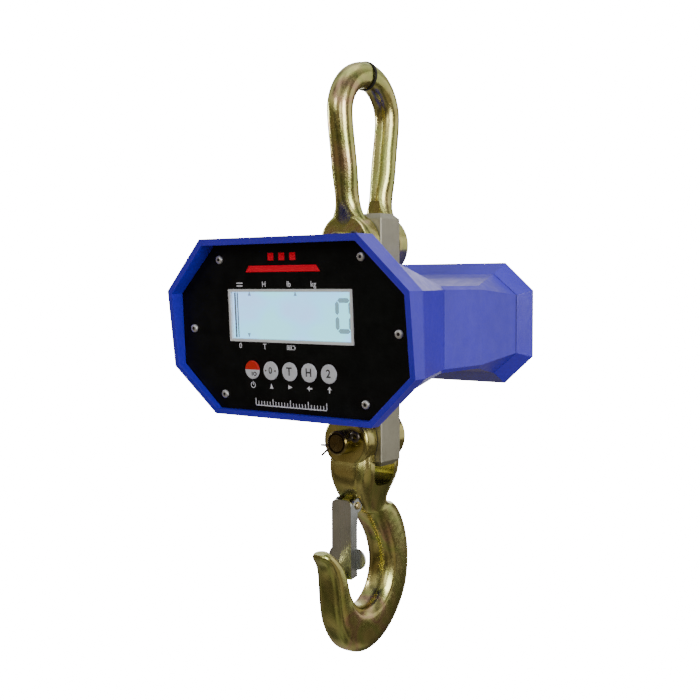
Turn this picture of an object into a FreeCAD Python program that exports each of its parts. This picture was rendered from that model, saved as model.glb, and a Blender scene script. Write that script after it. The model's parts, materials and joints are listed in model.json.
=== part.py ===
"""Crane scale: a load-cell bar hangs from a bow shackle and carries a clevis hook with a latch.

Millimetres, +Z up. The display faces -Y. The origin is the point inside the bow's crown that a
crane's hook bears on, and the whole scale hangs below it.
"""
import FreeCAD, Part
import math
import os

V = FreeCAD.Vector

# ---------------------------------------------------------------- driving dimensions
# Load path
BEARING_TO_PIN = 141.0      # bow bearing point down to the upper pin
PIN_PITCH = 177.5           # upper pin to lower pin
PIN_D = 22.0
PIN_RUNNING = 0.05          # radial clearance of a pin in a bore
BAR_WIDTH = 58.0
BAR_THICK = 30.0
BAR_ABOVE_PIN = 28.0
BAR_BELOW_PIN = 23.5
BAR_END_CHAMFER = 5.0
BAR_EDGE_CHAMFER = 0.8
GAUGE_POCKET_D = 34.0
GAUGE_POCKET_DEPTH = 9.0
GAUGE_COVER_THICK = 1.2
JAW_CLEAR = 0.8             # between the bar's face and an ear, each side

# Bow shackle
BOW_D = 22.2
BOW_CROWN_D = 24.4
BOW_CROWN_R = 36.6          # centre line of the crown
BOW_LEG_LEAN = 8.3          # degrees, each leg leans outwards going up
SHACKLE_EAR_R = 28.5
SHACKLE_EAR_THICK = 16.2
RING_ANGLE = 2.0            # degrees round the crown towards the back
RING_WIDTH = 2.4
RING_THICK = 0.9

# Clevis hook
HOOK_EAR_R = 24.8
HOOK_EAR_THICK = 16.2
THROAT_DEPTH = 42.2         # lower pin down to the bottom of the clevis slot
THROAT_CORNER_R = 11.0
EAR_EDGE_R = 4.0

# Clevis pins and split pins
PIN_HEAD_D = 31.0
PIN_HEAD_THICK = 7.0
PIN_STUB = 12.0             # pin past the front ear
SPLIT_PIN_D = 4.0
SPLIT_PIN_HOLE_CLEAR = 0.25
SPLIT_PIN_TILT = 21.0       # degrees above the horizontal
SPLIT_PIN_EYE_R = 3.6
SPLIT_PIN_EYE_REACH = 7.0   # eye past the pin's side
SPLIT_PIN_INSET = 5.0       # hole centre back from the pin's front end

# Latch
LATCH_PIVOT_Y = -27.2
LATCH_PIVOT_DROP = 58.0     # below the lower pin
LATCH_WIDTH = 21.8
LATCH_SHEET = 2.0
LATCH_FACE_Y = -37.4        # outside of the face plate
LATCH_ABOVE = 5.5
LATCH_BELOW = 66.0
LATCH_FLANGE = 9.6
LATCH_CORNER_R = 5.0
LATCH_LUG_R = 6.5
LATCH_RELIEF = 0.6          # hook cut back round the lugs and the spring
LATCH_WING_R = 9.6
LATCH_WING_DROP = 49.0
LATCH_WING_Y = -29.4
RIVET_D = 4.6
RIVET_HEAD_D = 7.0
RIVET_HEAD_THICK = 1.6
BOSS_WIDTH = 8.0
BOSS_R = 5.6
SPRING_WIRE_D = 1.3
SPRING_CLEAR = 0.35

# Housing
HOUSING_BELOW_PIN = 73.0    # upper pin down to the housing's centre
BEZEL_HALF_W = 130.6
BEZEL_HALF_H = 77.0
BEZEL_TOP_HALF_W = 85.0
BEZEL_SIDE_TOP = 32.0
BEZEL_SIDE_BOTTOM = -36.0
BEZEL_FRONT_Y = -118.6      # at mid height
BEZEL_TILT = 6.94           # degrees, the rim looks slightly down
BEZEL_LIP = 5.0
BODY_TOP = 56.2             # front housing where it meets the bezel
BODY_TOP_HALF_W = BEZEL_HALF_W - 27.2
BODY_BOTTOM = -45.0
BODY_BOTTOM_HALF_W = BEZEL_HALF_W - 10.6
WAIST_HALF_W = BEZEL_HALF_W - 23.8
WAIST_TOP = 35.6
WAIST_BOTTOM = -37.6
WAIST_CHAMFER = 3.4
WAIST_FRONT_Y = -34.0
WAIST_REAR_Y = 28.5
FLARE_Y = 87.8
FLARE_HALF_W = WAIST_HALF_W + 2.2
FLARE_HALF_H = 46.5
FLARE_TOP_HALF_W = 85.0
FLARE_SIDE_HALF_H = 27.0
RIM_Y = 107.5
RIM_HALF_W = WAIST_HALF_W + 12.8
RIM_HALF_H = 59.6
RIM_TOP_HALF_W = 89.2
RIM_SIDE_HALF_H = 32.0
RIM_ROUND = 2.5
WALL = 3.0
SEAL_GAP = 3.0              # bar to housing all round, filled by a rubber seal
SEAL_OVERHANG = 2.5
SEAL_PROUD = 1.2
PARTING_GAP = 0.4

# Front panel and what is on it; u runs along X, v up the panel, depths go in from its front face
PANEL_FRONT_Y = -107.5      # at mid height
PANEL_TILT = 2.9            # degrees, leans less than the bezel's rim
PANEL_THICK = 2.0
PANEL_CLEAR = 0.3
PANEL_GASKET_THICK = 0.6
PANEL_GASKET_WIDTH = 7.0
WEB_THICK = 2.6
WEB_WINDOW_HALF_U = BEZEL_HALF_W - 31.6
WEB_WINDOW_TOP = 50.0
WEB_WINDOW_BOTTOM = -41.4
SCREW_D = 3.9
SCREW_HEAD_D = 7.5
SCREW_HEAD_THICK = 2.2
SCREW_SOCKET_D = 3.0
SCREW_SOCKET_DEPTH = 1.3
SCREW_HOLE_CLEAR = 0.15
PANEL_SCREW_U = 77.0
PANEL_SCREW_V = 59.3
PANEL_SCREW_MID_U = BEZEL_HALF_W - 19.2
PANEL_SCREW_MID_V = -1.6
PANEL_SCREW_LENGTH = 9.5
SCREW_BOSS_D = 9.0
SCREW_BOSS_LENGTH = 6.0
DISPLAY_U = -0.5
DISPLAY_V = 10.9
DISPLAY_W = 135.0
DISPLAY_H = 45.5
DISPLAY_BORDER = 2.4
DISPLAY_FRAME_PROUD = 0.8
DISPLAY_FRAME_FLANGE = 1.2
WINDOW_THICK = 1.5
GLASS_THICK = 2.8
BACKLIGHT_THICK = 3.5
BUTTON_D = 16.0
BUTTON_PITCH = 21.0
BUTTON_FIRST_U = -43.8
BUTTON_V = -36.3
BUTTON_CLEAR = 0.3
BUTTON_PROUD = 0.9
BUTTON_TRAVEL = 0.8
BUTTON_FLANGE = 1.4
BUTTON_FLANGE_THICK = 0.9
BUTTON_FLANGE_GAP = 0.3     # behind the panel
SWITCH_GAP = 0.3
SWITCH_SIDE = 8.0
SWITCH_HEIGHT = 3.2
BOARD_W = 2 * (WEB_WINDOW_HALF_U - 5.0)
BOARD_H = 86.0
BOARD_V = 2.5
BOARD_THICK = 1.6
STANDOFF_D = 6.0
STANDOFF_INSET = 5.0

# Inside the housing
BRACKET_THICK = 3.0
BRACKET_LEG = 24.0
BRACKET_DEPTH = 24.0
BRACKET_SCREW_D = 5.0
BRACKET_SCREW_PITCH = 13.0
BEZEL_SCREW_D = 4.0
BEZEL_LUG_D = 10.0
BEZEL_LUG_LENGTH = 8.0
BEZEL_SCREW_INSET = 9.5     # from the side wall
BEZEL_SCREW_Z = 16.0
HOUSING_SCREW_D = 5.0
HOUSING_SCREW_U = WAIST_HALF_W - 13.8
HOUSING_SCREW_V = 22.0
HOUSING_BOSS_D = 13.0
HOUSING_BOSS_LENGTH = 18.0
HOUSING_LUG_LENGTH = 10.0
BATTERY = (112.0, 38.0, 52.0)
BATTERY_TRAY_WALL = 2.0
BATTERY_GAP = 0.5
BATTERY_STRAP_W = 20.0
BATTERY_STRAP_THICK = 1.5
COVER_THICK = 4.0
COVER_GASKET_THICK = 1.5
COVER_SPIGOT = 6.0
SPIGOT_CLEAR = 0.5
SPIGOT_THICK = 2.4
COVER_SCREW_INSET = 9.5
SOCKET_D = 12.0
SOCKET_U = 62.0
SOCKET_V = -14.0
SOCKET_LENGTH = 17.0
SOCKET_FLANGE_D = 18.0
SOCKET_BORE_D = 6.4
CAP_THICK = 3.0
LEAD_D = 5.0

# ---------------------------------------------------------------- values that follow
UPPER_PIN_Z = -BEARING_TO_PIN
LOWER_PIN_Z = UPPER_PIN_Z - PIN_PITCH
BAR_TOP = UPPER_PIN_Z + BAR_ABOVE_PIN
BAR_BOTTOM = LOWER_PIN_Z - BAR_BELOW_PIN
HOUSING_Z = UPPER_PIN_Z - HOUSING_BELOW_PIN
JAW_HALF = BAR_THICK / 2 + JAW_CLEAR
PANEL_LEAN = math.tan(math.radians(PANEL_TILT))
BUTTON_NAMES = ("button_power", "button_zero", "button_tare", "button_hold", "button_second")


# ---------------------------------------------------------------- helpers
def box(x0, x1, y0, y1, z0, z1):
    """A block between two corners."""
    return Part.makeBox(x1 - x0, y1 - y0, z1 - z0, V(x0, y0, z0))


def rod(radius, start, end):
    """A cylinder between two points."""
    a = V(*start)
    along = V(*end) - a
    return Part.makeCylinder(radius, along.Length, a, along)


def tube(outer, inner, start, end):
    """A round sleeve between two points."""
    return rod(outer, start, end).cut(rod(inner, start, end))


def polygon(points):
    """A closed wire through corner points."""
    corners = [V(*p) for p in points]
    return Part.makePolygon(corners + corners[:1])


def prism(points, along):
    """A flat outline pushed along a vector."""
    return Part.Face(polygon(points)).extrude(V(*along))


def ruled(*outlines):
    """A solid with flat-sided walls through outlines that have the same number of corners."""
    parts = []
    for first, second in zip(outlines, outlines[1:]):
        parts.append(Part.makeLoft([polygon(first), polygon(second)], True, True))
    return fused(parts)


def fused(parts):
    """Several touching solids as one."""
    whole = parts[0]
    for part in parts[1:]:
        whole = whole.fuse(part)
    return whole.removeSplitter()


def mirrored_x(shape):
    """The same shape on the other side of the symmetry plane."""
    return shape.mirror(V(0, 0, 0), V(1, 0, 0))


def write(name, *solids):
    """One node's file; several solids make a group of separate pieces."""
    shape = solids[0] if len(solids) == 1 else Part.makeCompound(list(solids))
    if not shape.isValid():
        print("not valid:", name)
    shape.exportStep("parts/%s.step" % name)


def edges_where(shape, test):
    """The edges whose middle and ends all pass a test."""
    found = []
    for edge in shape.Edges:
        first, last = edge.ParameterRange
        probes = [edge.valueAt(first + (last - first) * t) for t in (0.0, 0.35, 0.7, 1.0)]
        if all(test(p) for p in probes):
            found.append(edge)
    return found


def oval_section(inner, outer, half_width, round_share, inner_power, outer_power):
    """A closed smooth section across a bar that bends in the YZ plane.

    inner and outer are the (y, z) points where the section meets the symmetry plane. The widest
    line lies round_share of the depth from the inner point. The powers shape the inner and the
    outer half: 2 is an ellipse, more is squarer.
    """
    inner_point = V(0, *inner)
    across = V(0, *outer) - inner_point
    points = []
    count = 20
    for k in range(count):
        angle = 2 * math.pi * (k + 0.5) / count
        c, s = math.cos(angle), math.sin(angle)
        power = 2.0 / (outer_power if s > 0 else inner_power)
        reach = (1 - round_share) if s > 0 else round_share
        share = round_share + math.copysign(abs(s) ** power * reach, s)
        x = half_width * math.copysign(abs(c) ** power, c)
        points.append(inner_point + across * share + V(x, 0, 0))
    curve = Part.BSplineCurve()
    curve.interpolate(Points=points, PeriodicFlag=True, Parameters=[k / count for k in range(count + 1)])
    return curve


def skin(curves):
    """A solid with a smooth surface through closed curves and a flat face on each end."""
    surface = Part.BSplineSurface()
    surface.buildFromNSections(curves)
    ends = [Part.Face(Part.Wire(curve.toShape())) for curve in (curves[0], curves[-1])]
    shell = Part.Shell([surface.toShape()] + ends)
    shell.sewShape()
    solid = Part.Solid(shell)
    if solid.Volume < 0:
        solid.reverse()
    return solid


# ---------------------------------------------------------------- load path
def load_cell_bar():
    """The sensing bar: bores for both pins, two gauge pockets and a cable hole between them."""
    half_w, half_t = BAR_WIDTH / 2, BAR_THICK / 2
    bar = box(-half_w, half_w, -half_t, half_t, BAR_BOTTOM, BAR_TOP)
    ends = edges_where(bar, lambda p: min(abs(p.z - BAR_TOP), abs(p.z - BAR_BOTTOM)) < 0.01)
    bar = bar.makeChamfer(BAR_END_CHAMFER, ends)
    long_edges = [e for e in bar.Edges if e.Length > BAR_WIDTH * 2]
    bar = bar.makeChamfer(BAR_EDGE_CHAMFER, long_edges)
    bore = PIN_D / 2 + PIN_RUNNING
    for z in (UPPER_PIN_Z, LOWER_PIN_Z):
        bar = bar.cut(rod(bore, (0, -half_t - 1, z), (0, half_t + 1, z)))
    for side in (-1, 1):
        mouth = side * half_t
        floor = mouth - side * GAUGE_POCKET_DEPTH
        bar = bar.cut(rod(GAUGE_POCKET_D / 2, (0, mouth + side, HOUSING_Z), (0, floor, HOUSING_Z)))
    bar = bar.cut(rod(LEAD_D / 2 + 0.5, (0, -half_t, HOUSING_Z), (0, half_t, HOUSING_Z)))
    for side in (-1, 1):
        for z in bracket_screw_heights():
            hole = rod(BRACKET_SCREW_D / 2 + SCREW_HOLE_CLEAR, (side * (half_w + 1), 0, z),
                       (side * (half_w - 11), 0, z))
            bar = bar.cut(hole)
    return bar


def gauge_cover(side):
    """The disc that closes a gauge pocket, flush in the bar's face; the front one has a lead hole."""
    outer = side * (BAR_THICK / 2 - 0.2)
    inner = outer - side * GAUGE_COVER_THICK
    disc = rod(GAUGE_POCKET_D / 2 - 0.1, (0, inner, HOUSING_Z), (0, outer, HOUSING_Z))
    if side < 0:
        disc = disc.cut(rod(LEAD_D / 2 + 0.1, (0, inner - 5, HOUSING_Z), (0, inner + 5, HOUSING_Z)))
    return disc


def bow_stations():
    """Inner point, outer point and half width of the bow's sections, from front ear to back ear."""
    lean = math.radians(BOW_LEG_LEAN)
    centre_z = -(BOW_CROWN_R - BOW_CROWN_D / 2)
    ear_mid = JAW_HALF + SHACKLE_EAR_THICK / 2
    half_ear = SHACKLE_EAR_THICK / 2
    r = BOW_D / 2
    tangent = (BOW_CROWN_R * math.cos(lean), centre_z - BOW_CROWN_R * math.sin(lean))
    side = [
        ((ear_mid, UPPER_PIN_Z + 6), 0.0, half_ear, SHACKLE_EAR_R - 5.0),
        ((ear_mid, UPPER_PIN_Z + 17), 0.0, half_ear, SHACKLE_EAR_R - 8.0),
        ((ear_mid + 0.6, UPPER_PIN_Z + 28), lean / 2, half_ear + 1.4, 14.5),
    ]
    for step in range(4):
        run = 26.0 * step
        y = tangent[0] - (78 - run) * math.sin(lean)
        z = tangent[1] - (78 - run) * math.cos(lean)
        if step:
            side.append(((y, z), lean, r, r))
        else:
            side.append(((y, z), lean, r - 0.3, r + 0.5))
    crown = []
    steps = 6
    for k in range(1, steps + 1):
        angle = -lean + (math.pi / 2 + lean) * k / steps
        share = k / steps
        radius = r + (BOW_CROWN_D / 2 - r) * share
        y = BOW_CROWN_R * math.cos(angle)
        z = centre_z + BOW_CROWN_R * math.sin(angle)
        crown.append(((y, z), -angle, radius, r + 0.4 * share))
    half = []
    for (y, z), angle, depth, width in side:
        out = (math.cos(angle), -math.sin(angle))
        half.append(((y - depth * out[0], z - depth * out[1]),
                     (y + depth * out[0], z + depth * out[1]), width))
    for (y, z), angle, depth, width in crown:
        out = (math.cos(angle), -math.sin(angle))
        half.append(((y - depth * out[0], z - depth * out[1]),
                     (y + depth * out[0], z + depth * out[1]), width))
    mirror = [((-i[0], i[1]), (-o[0], o[1]), w) for i, o, w in half]
    return mirror[:-1] + half[::-1]


def ear(radius, thick, z, side):
    """One round ear of a clevis, its outside edge rounded."""
    inner = side * JAW_HALF
    outer = side * (JAW_HALF + thick)
    disc = rod(radius, (0, inner, z), (0, outer, z))
    rim = edges_where(disc, lambda p: abs(p.y - outer) < 0.01 and abs(math.hypot(p.x, p.z - z) - radius) < 0.01)
    return disc.makeFillet(EAR_EDGE_R, rim)


def bow_shackle():
    """Bow with two ears; the ears are faced flat beside the bar and bored for the pin."""
    sections = [oval_section(i, o, w, 0.5, 2.2, 2.2) for i, o, w in bow_stations()]
    bow = skin(sections)
    bow = bow.fuse([ear(SHACKLE_EAR_R, SHACKLE_EAR_THICK, UPPER_PIN_Z, side) for side in (-1, 1)])
    swing_r = math.hypot(BAR_WIDTH / 2, BAR_ABOVE_PIN) + 1.0
    bow = bow.cut(rod(swing_r, (0, -JAW_HALF, UPPER_PIN_Z), (0, JAW_HALF, UPPER_PIN_Z)))
    reach = JAW_HALF + SHACKLE_EAR_THICK + 5
    return bow.cut(rod(PIN_D / 2 + PIN_RUNNING, (0, -reach, UPPER_PIN_Z), (0, reach, UPPER_PIN_Z)))


def bow_marker_ring():
    """A thin band round the crown, a little towards the back."""
    angle = math.radians(RING_ANGLE)
    centre_z = -(BOW_CROWN_R - BOW_CROWN_D / 2)
    middle = V(0, BOW_CROWN_R * math.sin(angle), centre_z + BOW_CROWN_R * math.cos(angle))
    along = V(0, math.cos(angle), -math.sin(angle)) * (RING_WIDTH / 2)
    r = BOW_CROWN_D / 2 + 0.15
    return tube(r + RING_THICK, r, tuple(middle - along), tuple(middle + along))


def clevis_pin(z, ear_thick):
    """Headed pin: head behind, a drilled stub with a bevelled end in front."""
    back = JAW_HALF + ear_thick + 0.3
    front = -(JAW_HALF + ear_thick + PIN_STUB)
    shank = rod(PIN_D / 2, (0, front, z), (0, back, z))
    nose = edges_where(shank, lambda p: abs(p.y - front) < 0.01)
    shank = shank.makeChamfer(1.2, nose)
    head = rod(PIN_HEAD_D / 2, (0, back, z), (0, back + PIN_HEAD_THICK, z))
    crown = edges_where(head, lambda p: abs(p.y - back - PIN_HEAD_THICK) < 0.01)
    head = head.makeFillet(2.2, crown)
    y = front + SPLIT_PIN_INSET
    tilt = math.radians(SPLIT_PIN_TILT)
    dx, dz = PIN_D * math.cos(tilt), PIN_D * math.sin(tilt)
    hole = rod(SPLIT_PIN_D / 2 + SPLIT_PIN_HOLE_CLEAR, (-dx, y, z - dz), (dx, y, z + dz))
    return shank.fuse(head).cut(hole).removeSplitter()


def split_pin(z, ear_thick):
    """Split pin through the stub: an eye on the right, two legs spread on the left."""
    y = -(JAW_HALF + ear_thick + PIN_STUB) + SPLIT_PIN_INSET
    r = SPLIT_PIN_D / 2
    reach = PIN_D / 2 + 1.5
    eye_x = PIN_D / 2 + SPLIT_PIN_EYE_REACH
    body = rod(r, (-reach, 0, 0), (eye_x - SPLIT_PIN_EYE_R, 0, 0))
    eye = Part.makeTorus(SPLIT_PIN_EYE_R, r * 0.8, V(eye_x, 0, 0), V(0, 1, 0))
    pin = body.fuse(eye)
    for side, length in ((1, 9.0), (-1, 12.0)):
        angle = math.radians(side * 20.0)
        start = V(-reach, 0, side * r * 0.45)
        end = start + V(-math.cos(angle), 0, math.sin(angle)) * length
        pin = pin.fuse(rod(r * 0.5, tuple(start), tuple(end)))
    pin.rotate(V(0, 0, 0), V(0, 1, 0), -SPLIT_PIN_TILT)
    pin.translate(V(0, y, z))
    return pin.removeSplitter()


# Sections of the hook, from the clevis down the back limb, round the bowl and up to the tip. Each
# is (inner y, z), (outer y, z), half width, share of the depth where it is widest, inner power,
# outer power. Heights are from the lower pin; the inner side is the one that the load bears on.
HOOK_SECTIONS = (
    ((-32.8, -2.0), (32.0, -2.0), 22.5, 0.50, 5.0, 5.0),
    ((-32.8, -22.0), (32.0, -22.0), 22.3, 0.50, 4.6, 4.6),
    ((-33.2, -36.0), (31.5, -35.0), 21.5, 0.50, 3.8, 3.6),
    ((-28.8, -48.0), (26.0, -46.0), 19.0, 0.50, 3.4, 3.2),
    ((-22.5, -59.0), (20.0, -55.5), 16.6, 0.50, 3.0, 3.2),
    ((-11.0, -70.0), (31.0, -63.5), 15.7, 0.45, 2.4, 3.2),
    ((0.0, -80.5), (42.0, -73.0), 15.6, 0.42, 2.3, 3.2),
    ((8.5, -92.5), (50.8, -88.0), 15.5, 0.40, 2.3, 3.2),
    ((14.6, -105.5), (55.8, -106.0), 15.5, 0.40, 2.3, 3.2),
    ((17.5, -119.5), (56.8, -124.5), 15.5, 0.38, 2.3, 3.2),
    ((15.0, -134.5), (53.0, -146.5), 15.5, 0.36, 2.3, 3.2),
    ((7.5, -146.5), (42.5, -165.5), 15.5, 0.35, 2.3, 3.2),
    ((-2.5, -152.8), (24.5, -184.0), 15.5, 0.34, 2.3, 3.2),
    ((-11.5, -154.3), (0.0, -195.6), 15.5, 0.34, 2.3, 3.2),
    ((-20.5, -151.8), (-24.5, -195.0), 15.3, 0.35, 2.3, 3.2),
    ((-29.5, -144.5), (-44.8, -180.5), 15.0, 0.38, 2.3, 3.2),
    ((-36.0, -134.0), (-55.0, -158.8), 14.5, 0.42, 2.3, 3.2),
    ((-39.2, -123.0), (-58.6, -136.0), 13.8, 0.46, 2.3, 3.0),
    ((-43.0, -113.5), (-61.0, -118.0), 12.8, 0.48, 2.3, 2.8),
    ((-48.5, -105.5), (-66.0, -106.5), 11.5, 0.50, 2.3, 2.6),
    ((-55.5, -98.5), (-71.5, -100.5), 9.8, 0.50, 2.2, 2.4),
    ((-61.5, -94.2), (-72.5, -95.6), 6.5, 0.50, 2.1, 2.2),
)


NECK_SECTION = 5            # the fork ends and the hook's limb starts at this one


def hook():
    """Clevis hook: forked top with a slot for the bar, a bowl, an out-turned tip, a latch boss."""
    def place(point):
        return (point[0], point[1] + LOWER_PIN_Z)

    sections = [oval_section(place(i), place(o), *shape) for i, o, *shape in HOOK_SECTIONS]
    body = skin(sections[:NECK_SECTION + 1]).fuse(skin(sections[NECK_SECTION:]))
    for side in (-1, 1):
        body = body.fuse(ear(HOOK_EAR_R, HOOK_EAR_THICK, LOWER_PIN_Z, side))
    pivot_z = LOWER_PIN_Z - LATCH_PIVOT_DROP
    half_boss = BOSS_WIDTH / 2
    boss = rod(BOSS_R, (-half_boss, LATCH_PIVOT_Y, pivot_z), (half_boss, LATCH_PIVOT_Y, pivot_z))
    root = prism([(-half_boss, LATCH_PIVOT_Y, pivot_z + BOSS_R), (-half_boss, 0, pivot_z + BOSS_R + 6),
                  (-half_boss, 0, pivot_z - BOSS_R - 2), (-half_boss, LATCH_PIVOT_Y, pivot_z - BOSS_R)],
                 (BOSS_WIDTH, 0, 0))
    for side in (-1, 1):
        near, far = side * (half_boss + 0.05), side * (LATCH_WIDTH / 2 + LATCH_RELIEF)
        relief = rod(LATCH_LUG_R + LATCH_RELIEF, (near, LATCH_PIVOT_Y, pivot_z), (far, LATCH_PIVOT_Y, pivot_z))
        body = body.cut(relief)
    body = body.fuse(boss).fuse(root)
    body = body.cut(clevis_slot())
    reach = JAW_HALF + HOOK_EAR_THICK + 5
    body = body.cut(rod(PIN_D / 2 + PIN_RUNNING, (0, -reach, LOWER_PIN_Z), (0, reach, LOWER_PIN_Z)))
    rivet = RIVET_D / 2 + PIN_RUNNING
    body = body.cut(rod(rivet, (-LATCH_WIDTH, LATCH_PIVOT_Y, pivot_z), (LATCH_WIDTH, LATCH_PIVOT_Y, pivot_z)))
    return body.removeSplitter()


def clevis_slot():
    """What is cut from the hook between its ears: open above, rounded at the bottom."""
    top = HOOK_EAR_R + 5
    slot = box(-60, 60, -JAW_HALF, JAW_HALF, LOWER_PIN_Z - THROAT_DEPTH, LOWER_PIN_Z + top)
    floor = edges_where(slot, lambda p: abs(p.z - LOWER_PIN_Z + THROAT_DEPTH) < 0.01)
    along_x = [e for e in floor if e.BoundBox.XLength > 60]
    return slot.makeFillet(THROAT_CORNER_R, along_x)


# ---------------------------------------------------------------- latch
def latch():
    """Folded sheet latch: face plate, two flanges with pivot lugs, two round wings."""
    z0 = LOWER_PIN_Z - LATCH_PIVOT_DROP
    half = LATCH_WIDTH / 2
    face_in = LATCH_FACE_Y + LATCH_SHEET
    plate = box(-half, half, LATCH_FACE_Y, face_in, z0 - LATCH_BELOW, z0 + LATCH_ABOVE)
    upright = edges_where(plate, lambda p: abs(p.z - z0 - LATCH_ABOVE) < 0.01 and abs(abs(p.x) - half) < 0.01)
    plate = plate.makeFillet(LATCH_CORNER_R, upright)
    back = LATCH_FACE_Y + LATCH_FLANGE
    lower = z0 - LATCH_BELOW
    parts = [plate]
    for side in (-1, 1):
        x = side * half
        flange = prism([(x, LATCH_FACE_Y, z0 + LATCH_ABOVE - LATCH_CORNER_R), (x, LATCH_PIVOT_Y, z0 + LATCH_LUG_R),
                        (x, LATCH_PIVOT_Y, z0 - LATCH_LUG_R - 8), (x, back, z0 - LATCH_LUG_R - 12),
                        (x, back, lower + 1.5), (x, LATCH_FACE_Y, lower)], (-side * LATCH_SHEET, 0, 0))
        lug = rod(LATCH_LUG_R, (x, LATCH_PIVOT_Y, z0), (x - side * LATCH_SHEET, LATCH_PIVOT_Y, z0))
        wing_z = z0 - LATCH_WING_DROP
        wing = rod(LATCH_WING_R, (x, LATCH_WING_Y, wing_z), (x, LATCH_WING_Y + LATCH_SHEET, wing_z))
        keep = box(min(x - side * LATCH_SHEET, side * 40), max(x - side * LATCH_SHEET, side * 40),
                   -60, 0, wing_z - 20, wing_z + 20)
        parts += [flange, lug, wing.common(keep)]
    whole = fused(parts)
    bore = RIVET_D / 2 + PIN_RUNNING
    return whole.cut(rod(bore, (-half - 1, LATCH_PIVOT_Y, z0), (half + 1, LATCH_PIVOT_Y, z0)))


def latch_rivet():
    """The latch's pivot, headed both ends outside the flanges."""
    z0 = LOWER_PIN_Z - LATCH_PIVOT_DROP
    face = LATCH_WIDTH / 2 + 0.3
    pin = rod(RIVET_D / 2, (-face, LATCH_PIVOT_Y, z0), (face, LATCH_PIVOT_Y, z0))
    for side in (-1, 1):
        end = side * (face + RIVET_HEAD_THICK)
        head = rod(RIVET_HEAD_D / 2, (side * face, LATCH_PIVOT_Y, z0), (end, LATCH_PIVOT_Y, z0))
        rim = edges_where(head, lambda p: abs(p.x - end) < 0.01)
        pin = pin.fuse(head.makeFillet(RIVET_HEAD_THICK * 0.8, rim))
    return pin.removeSplitter()


def latch_spring():
    """Torsion spring as two closed coils on the rivet, one each side of the boss."""
    z0 = LOWER_PIN_Z - LATCH_PIVOT_DROP
    wire = SPRING_WIRE_D / 2
    coil_r = RIVET_D / 2 + SPRING_CLEAR + wire
    coils = []
    for side in (-1, 1):
        for turn in range(3):
            x = side * (BOSS_WIDTH / 2 + SPRING_CLEAR + wire + turn * SPRING_WIRE_D * 0.96)
            coils.append(Part.makeTorus(coil_r, wire, V(x, LATCH_PIVOT_Y, z0), V(1, 0, 0)))
    return coils_joined(coils)


def coils_joined(coils):
    """Neighbouring turns as one body each side of the boss."""
    half = len(coils) // 2
    return [fused(coils[:half]), fused(coils[half:])]


# ---------------------------------------------------------------- housing outlines
def octagon(y, half_w, top, bottom, top_half_w, side_top, side_bottom, inset=0.0, lean=0.0,
            bottom_half_w=None):
    """Eight corners at one depth; inset moves every side inwards by about the same amount.

    lean is how far a corner comes forward for each millimetre that it stands higher.
    """
    w, t, b = half_w - inset, top - inset, bottom + inset
    k = inset * 0.414
    u, s, d = top_half_w - k, side_top - k, side_bottom + k
    v = u if bottom_half_w is None else bottom_half_w - k
    outline = [(u, t), (w, s), (w, d), (v, b), (-v, b), (-w, d), (-w, s), (-u, t)]
    return [(x, y - lean * z, HOUSING_Z + z) for x, z in outline]


def bezel_outline(y, inset=0.0, lean=0.0):
    """The bezel's large octagon."""
    return octagon(y, BEZEL_HALF_W, BEZEL_HALF_H, -BEZEL_HALF_H, BEZEL_TOP_HALF_W,
                   BEZEL_SIDE_TOP, BEZEL_SIDE_BOTTOM, inset, lean)


def body_outline(y, inset=0.0):
    """The front housing's front edge, on the bezel's back plane."""
    return octagon(y, BEZEL_HALF_W, BODY_TOP, BODY_BOTTOM, BODY_TOP_HALF_W, BEZEL_SIDE_TOP,
                   BEZEL_SIDE_BOTTOM, inset, PANEL_LEAN, BODY_BOTTOM_HALF_W)


def waist_outline(y, inset=0.0):
    """The narrow part round the bar, nearly a rectangle."""
    return octagon(y, WAIST_HALF_W, WAIST_TOP, WAIST_BOTTOM, WAIST_HALF_W - WAIST_CHAMFER,
                   WAIST_TOP - WAIST_CHAMFER, WAIST_BOTTOM + WAIST_CHAMFER, inset)


def flare_outline(y, inset=0.0):
    """The end of the rear housing."""
    return octagon(y, FLARE_HALF_W, FLARE_HALF_H, -FLARE_HALF_H, FLARE_TOP_HALF_W,
                   FLARE_SIDE_HALF_H, -FLARE_SIDE_HALF_H, inset)


def rim_outline(y, inset=0.0):
    """The rear cover's outer edge."""
    return octagon(y, RIM_HALF_W, RIM_HALF_H, -RIM_HALF_H, RIM_TOP_HALF_W,
                   RIM_SIDE_HALF_H, -RIM_SIDE_HALF_H, inset)


def on_face(shape, tilt=PANEL_TILT, front=PANEL_FRONT_Y):
    """Moves a shape drawn upright at the origin onto the leaning panel's front face."""
    moved = shape.copy()
    moved.rotate(V(0, 0, 0), V(1, 0, 0), tilt)
    moved.translate(V(0, front, HOUSING_Z))
    return moved


def face_prism(inset, depth0, depth1):
    """A slab with the bezel's outline between two depths, before it is moved onto the face."""
    stretch = 1 / math.cos(math.radians(PANEL_TILT))
    outline = [(x, depth0, (z - HOUSING_Z) * stretch) for x, _, z in bezel_outline(0, inset)]
    return prism(outline, (0, depth1 - depth0, 0))


def face_box(u, v, width, height, depth0, depth1):
    """A block centred at (u, v), before it is moved onto the face."""
    return box(u - width / 2, u + width / 2, depth0, depth1, v - height / 2, v + height / 2)


def face_rod(radius, u, v, depth0, depth1):
    """A round bar square to the face, before it is moved onto the face."""
    return rod(radius, (u, depth0, v), (u, depth1, v))


PANEL_BACK = PANEL_THICK
WEB_FRONT = PANEL_BACK + PANEL_GASKET_THICK
WEB_BACK = WEB_FRONT + WEB_THICK
PANEL_INSET = BEZEL_LIP + PANEL_CLEAR
BODY_FRONT_Y = PANEL_FRONT_Y + WEB_BACK / math.cos(math.radians(PANEL_TILT))


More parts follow.
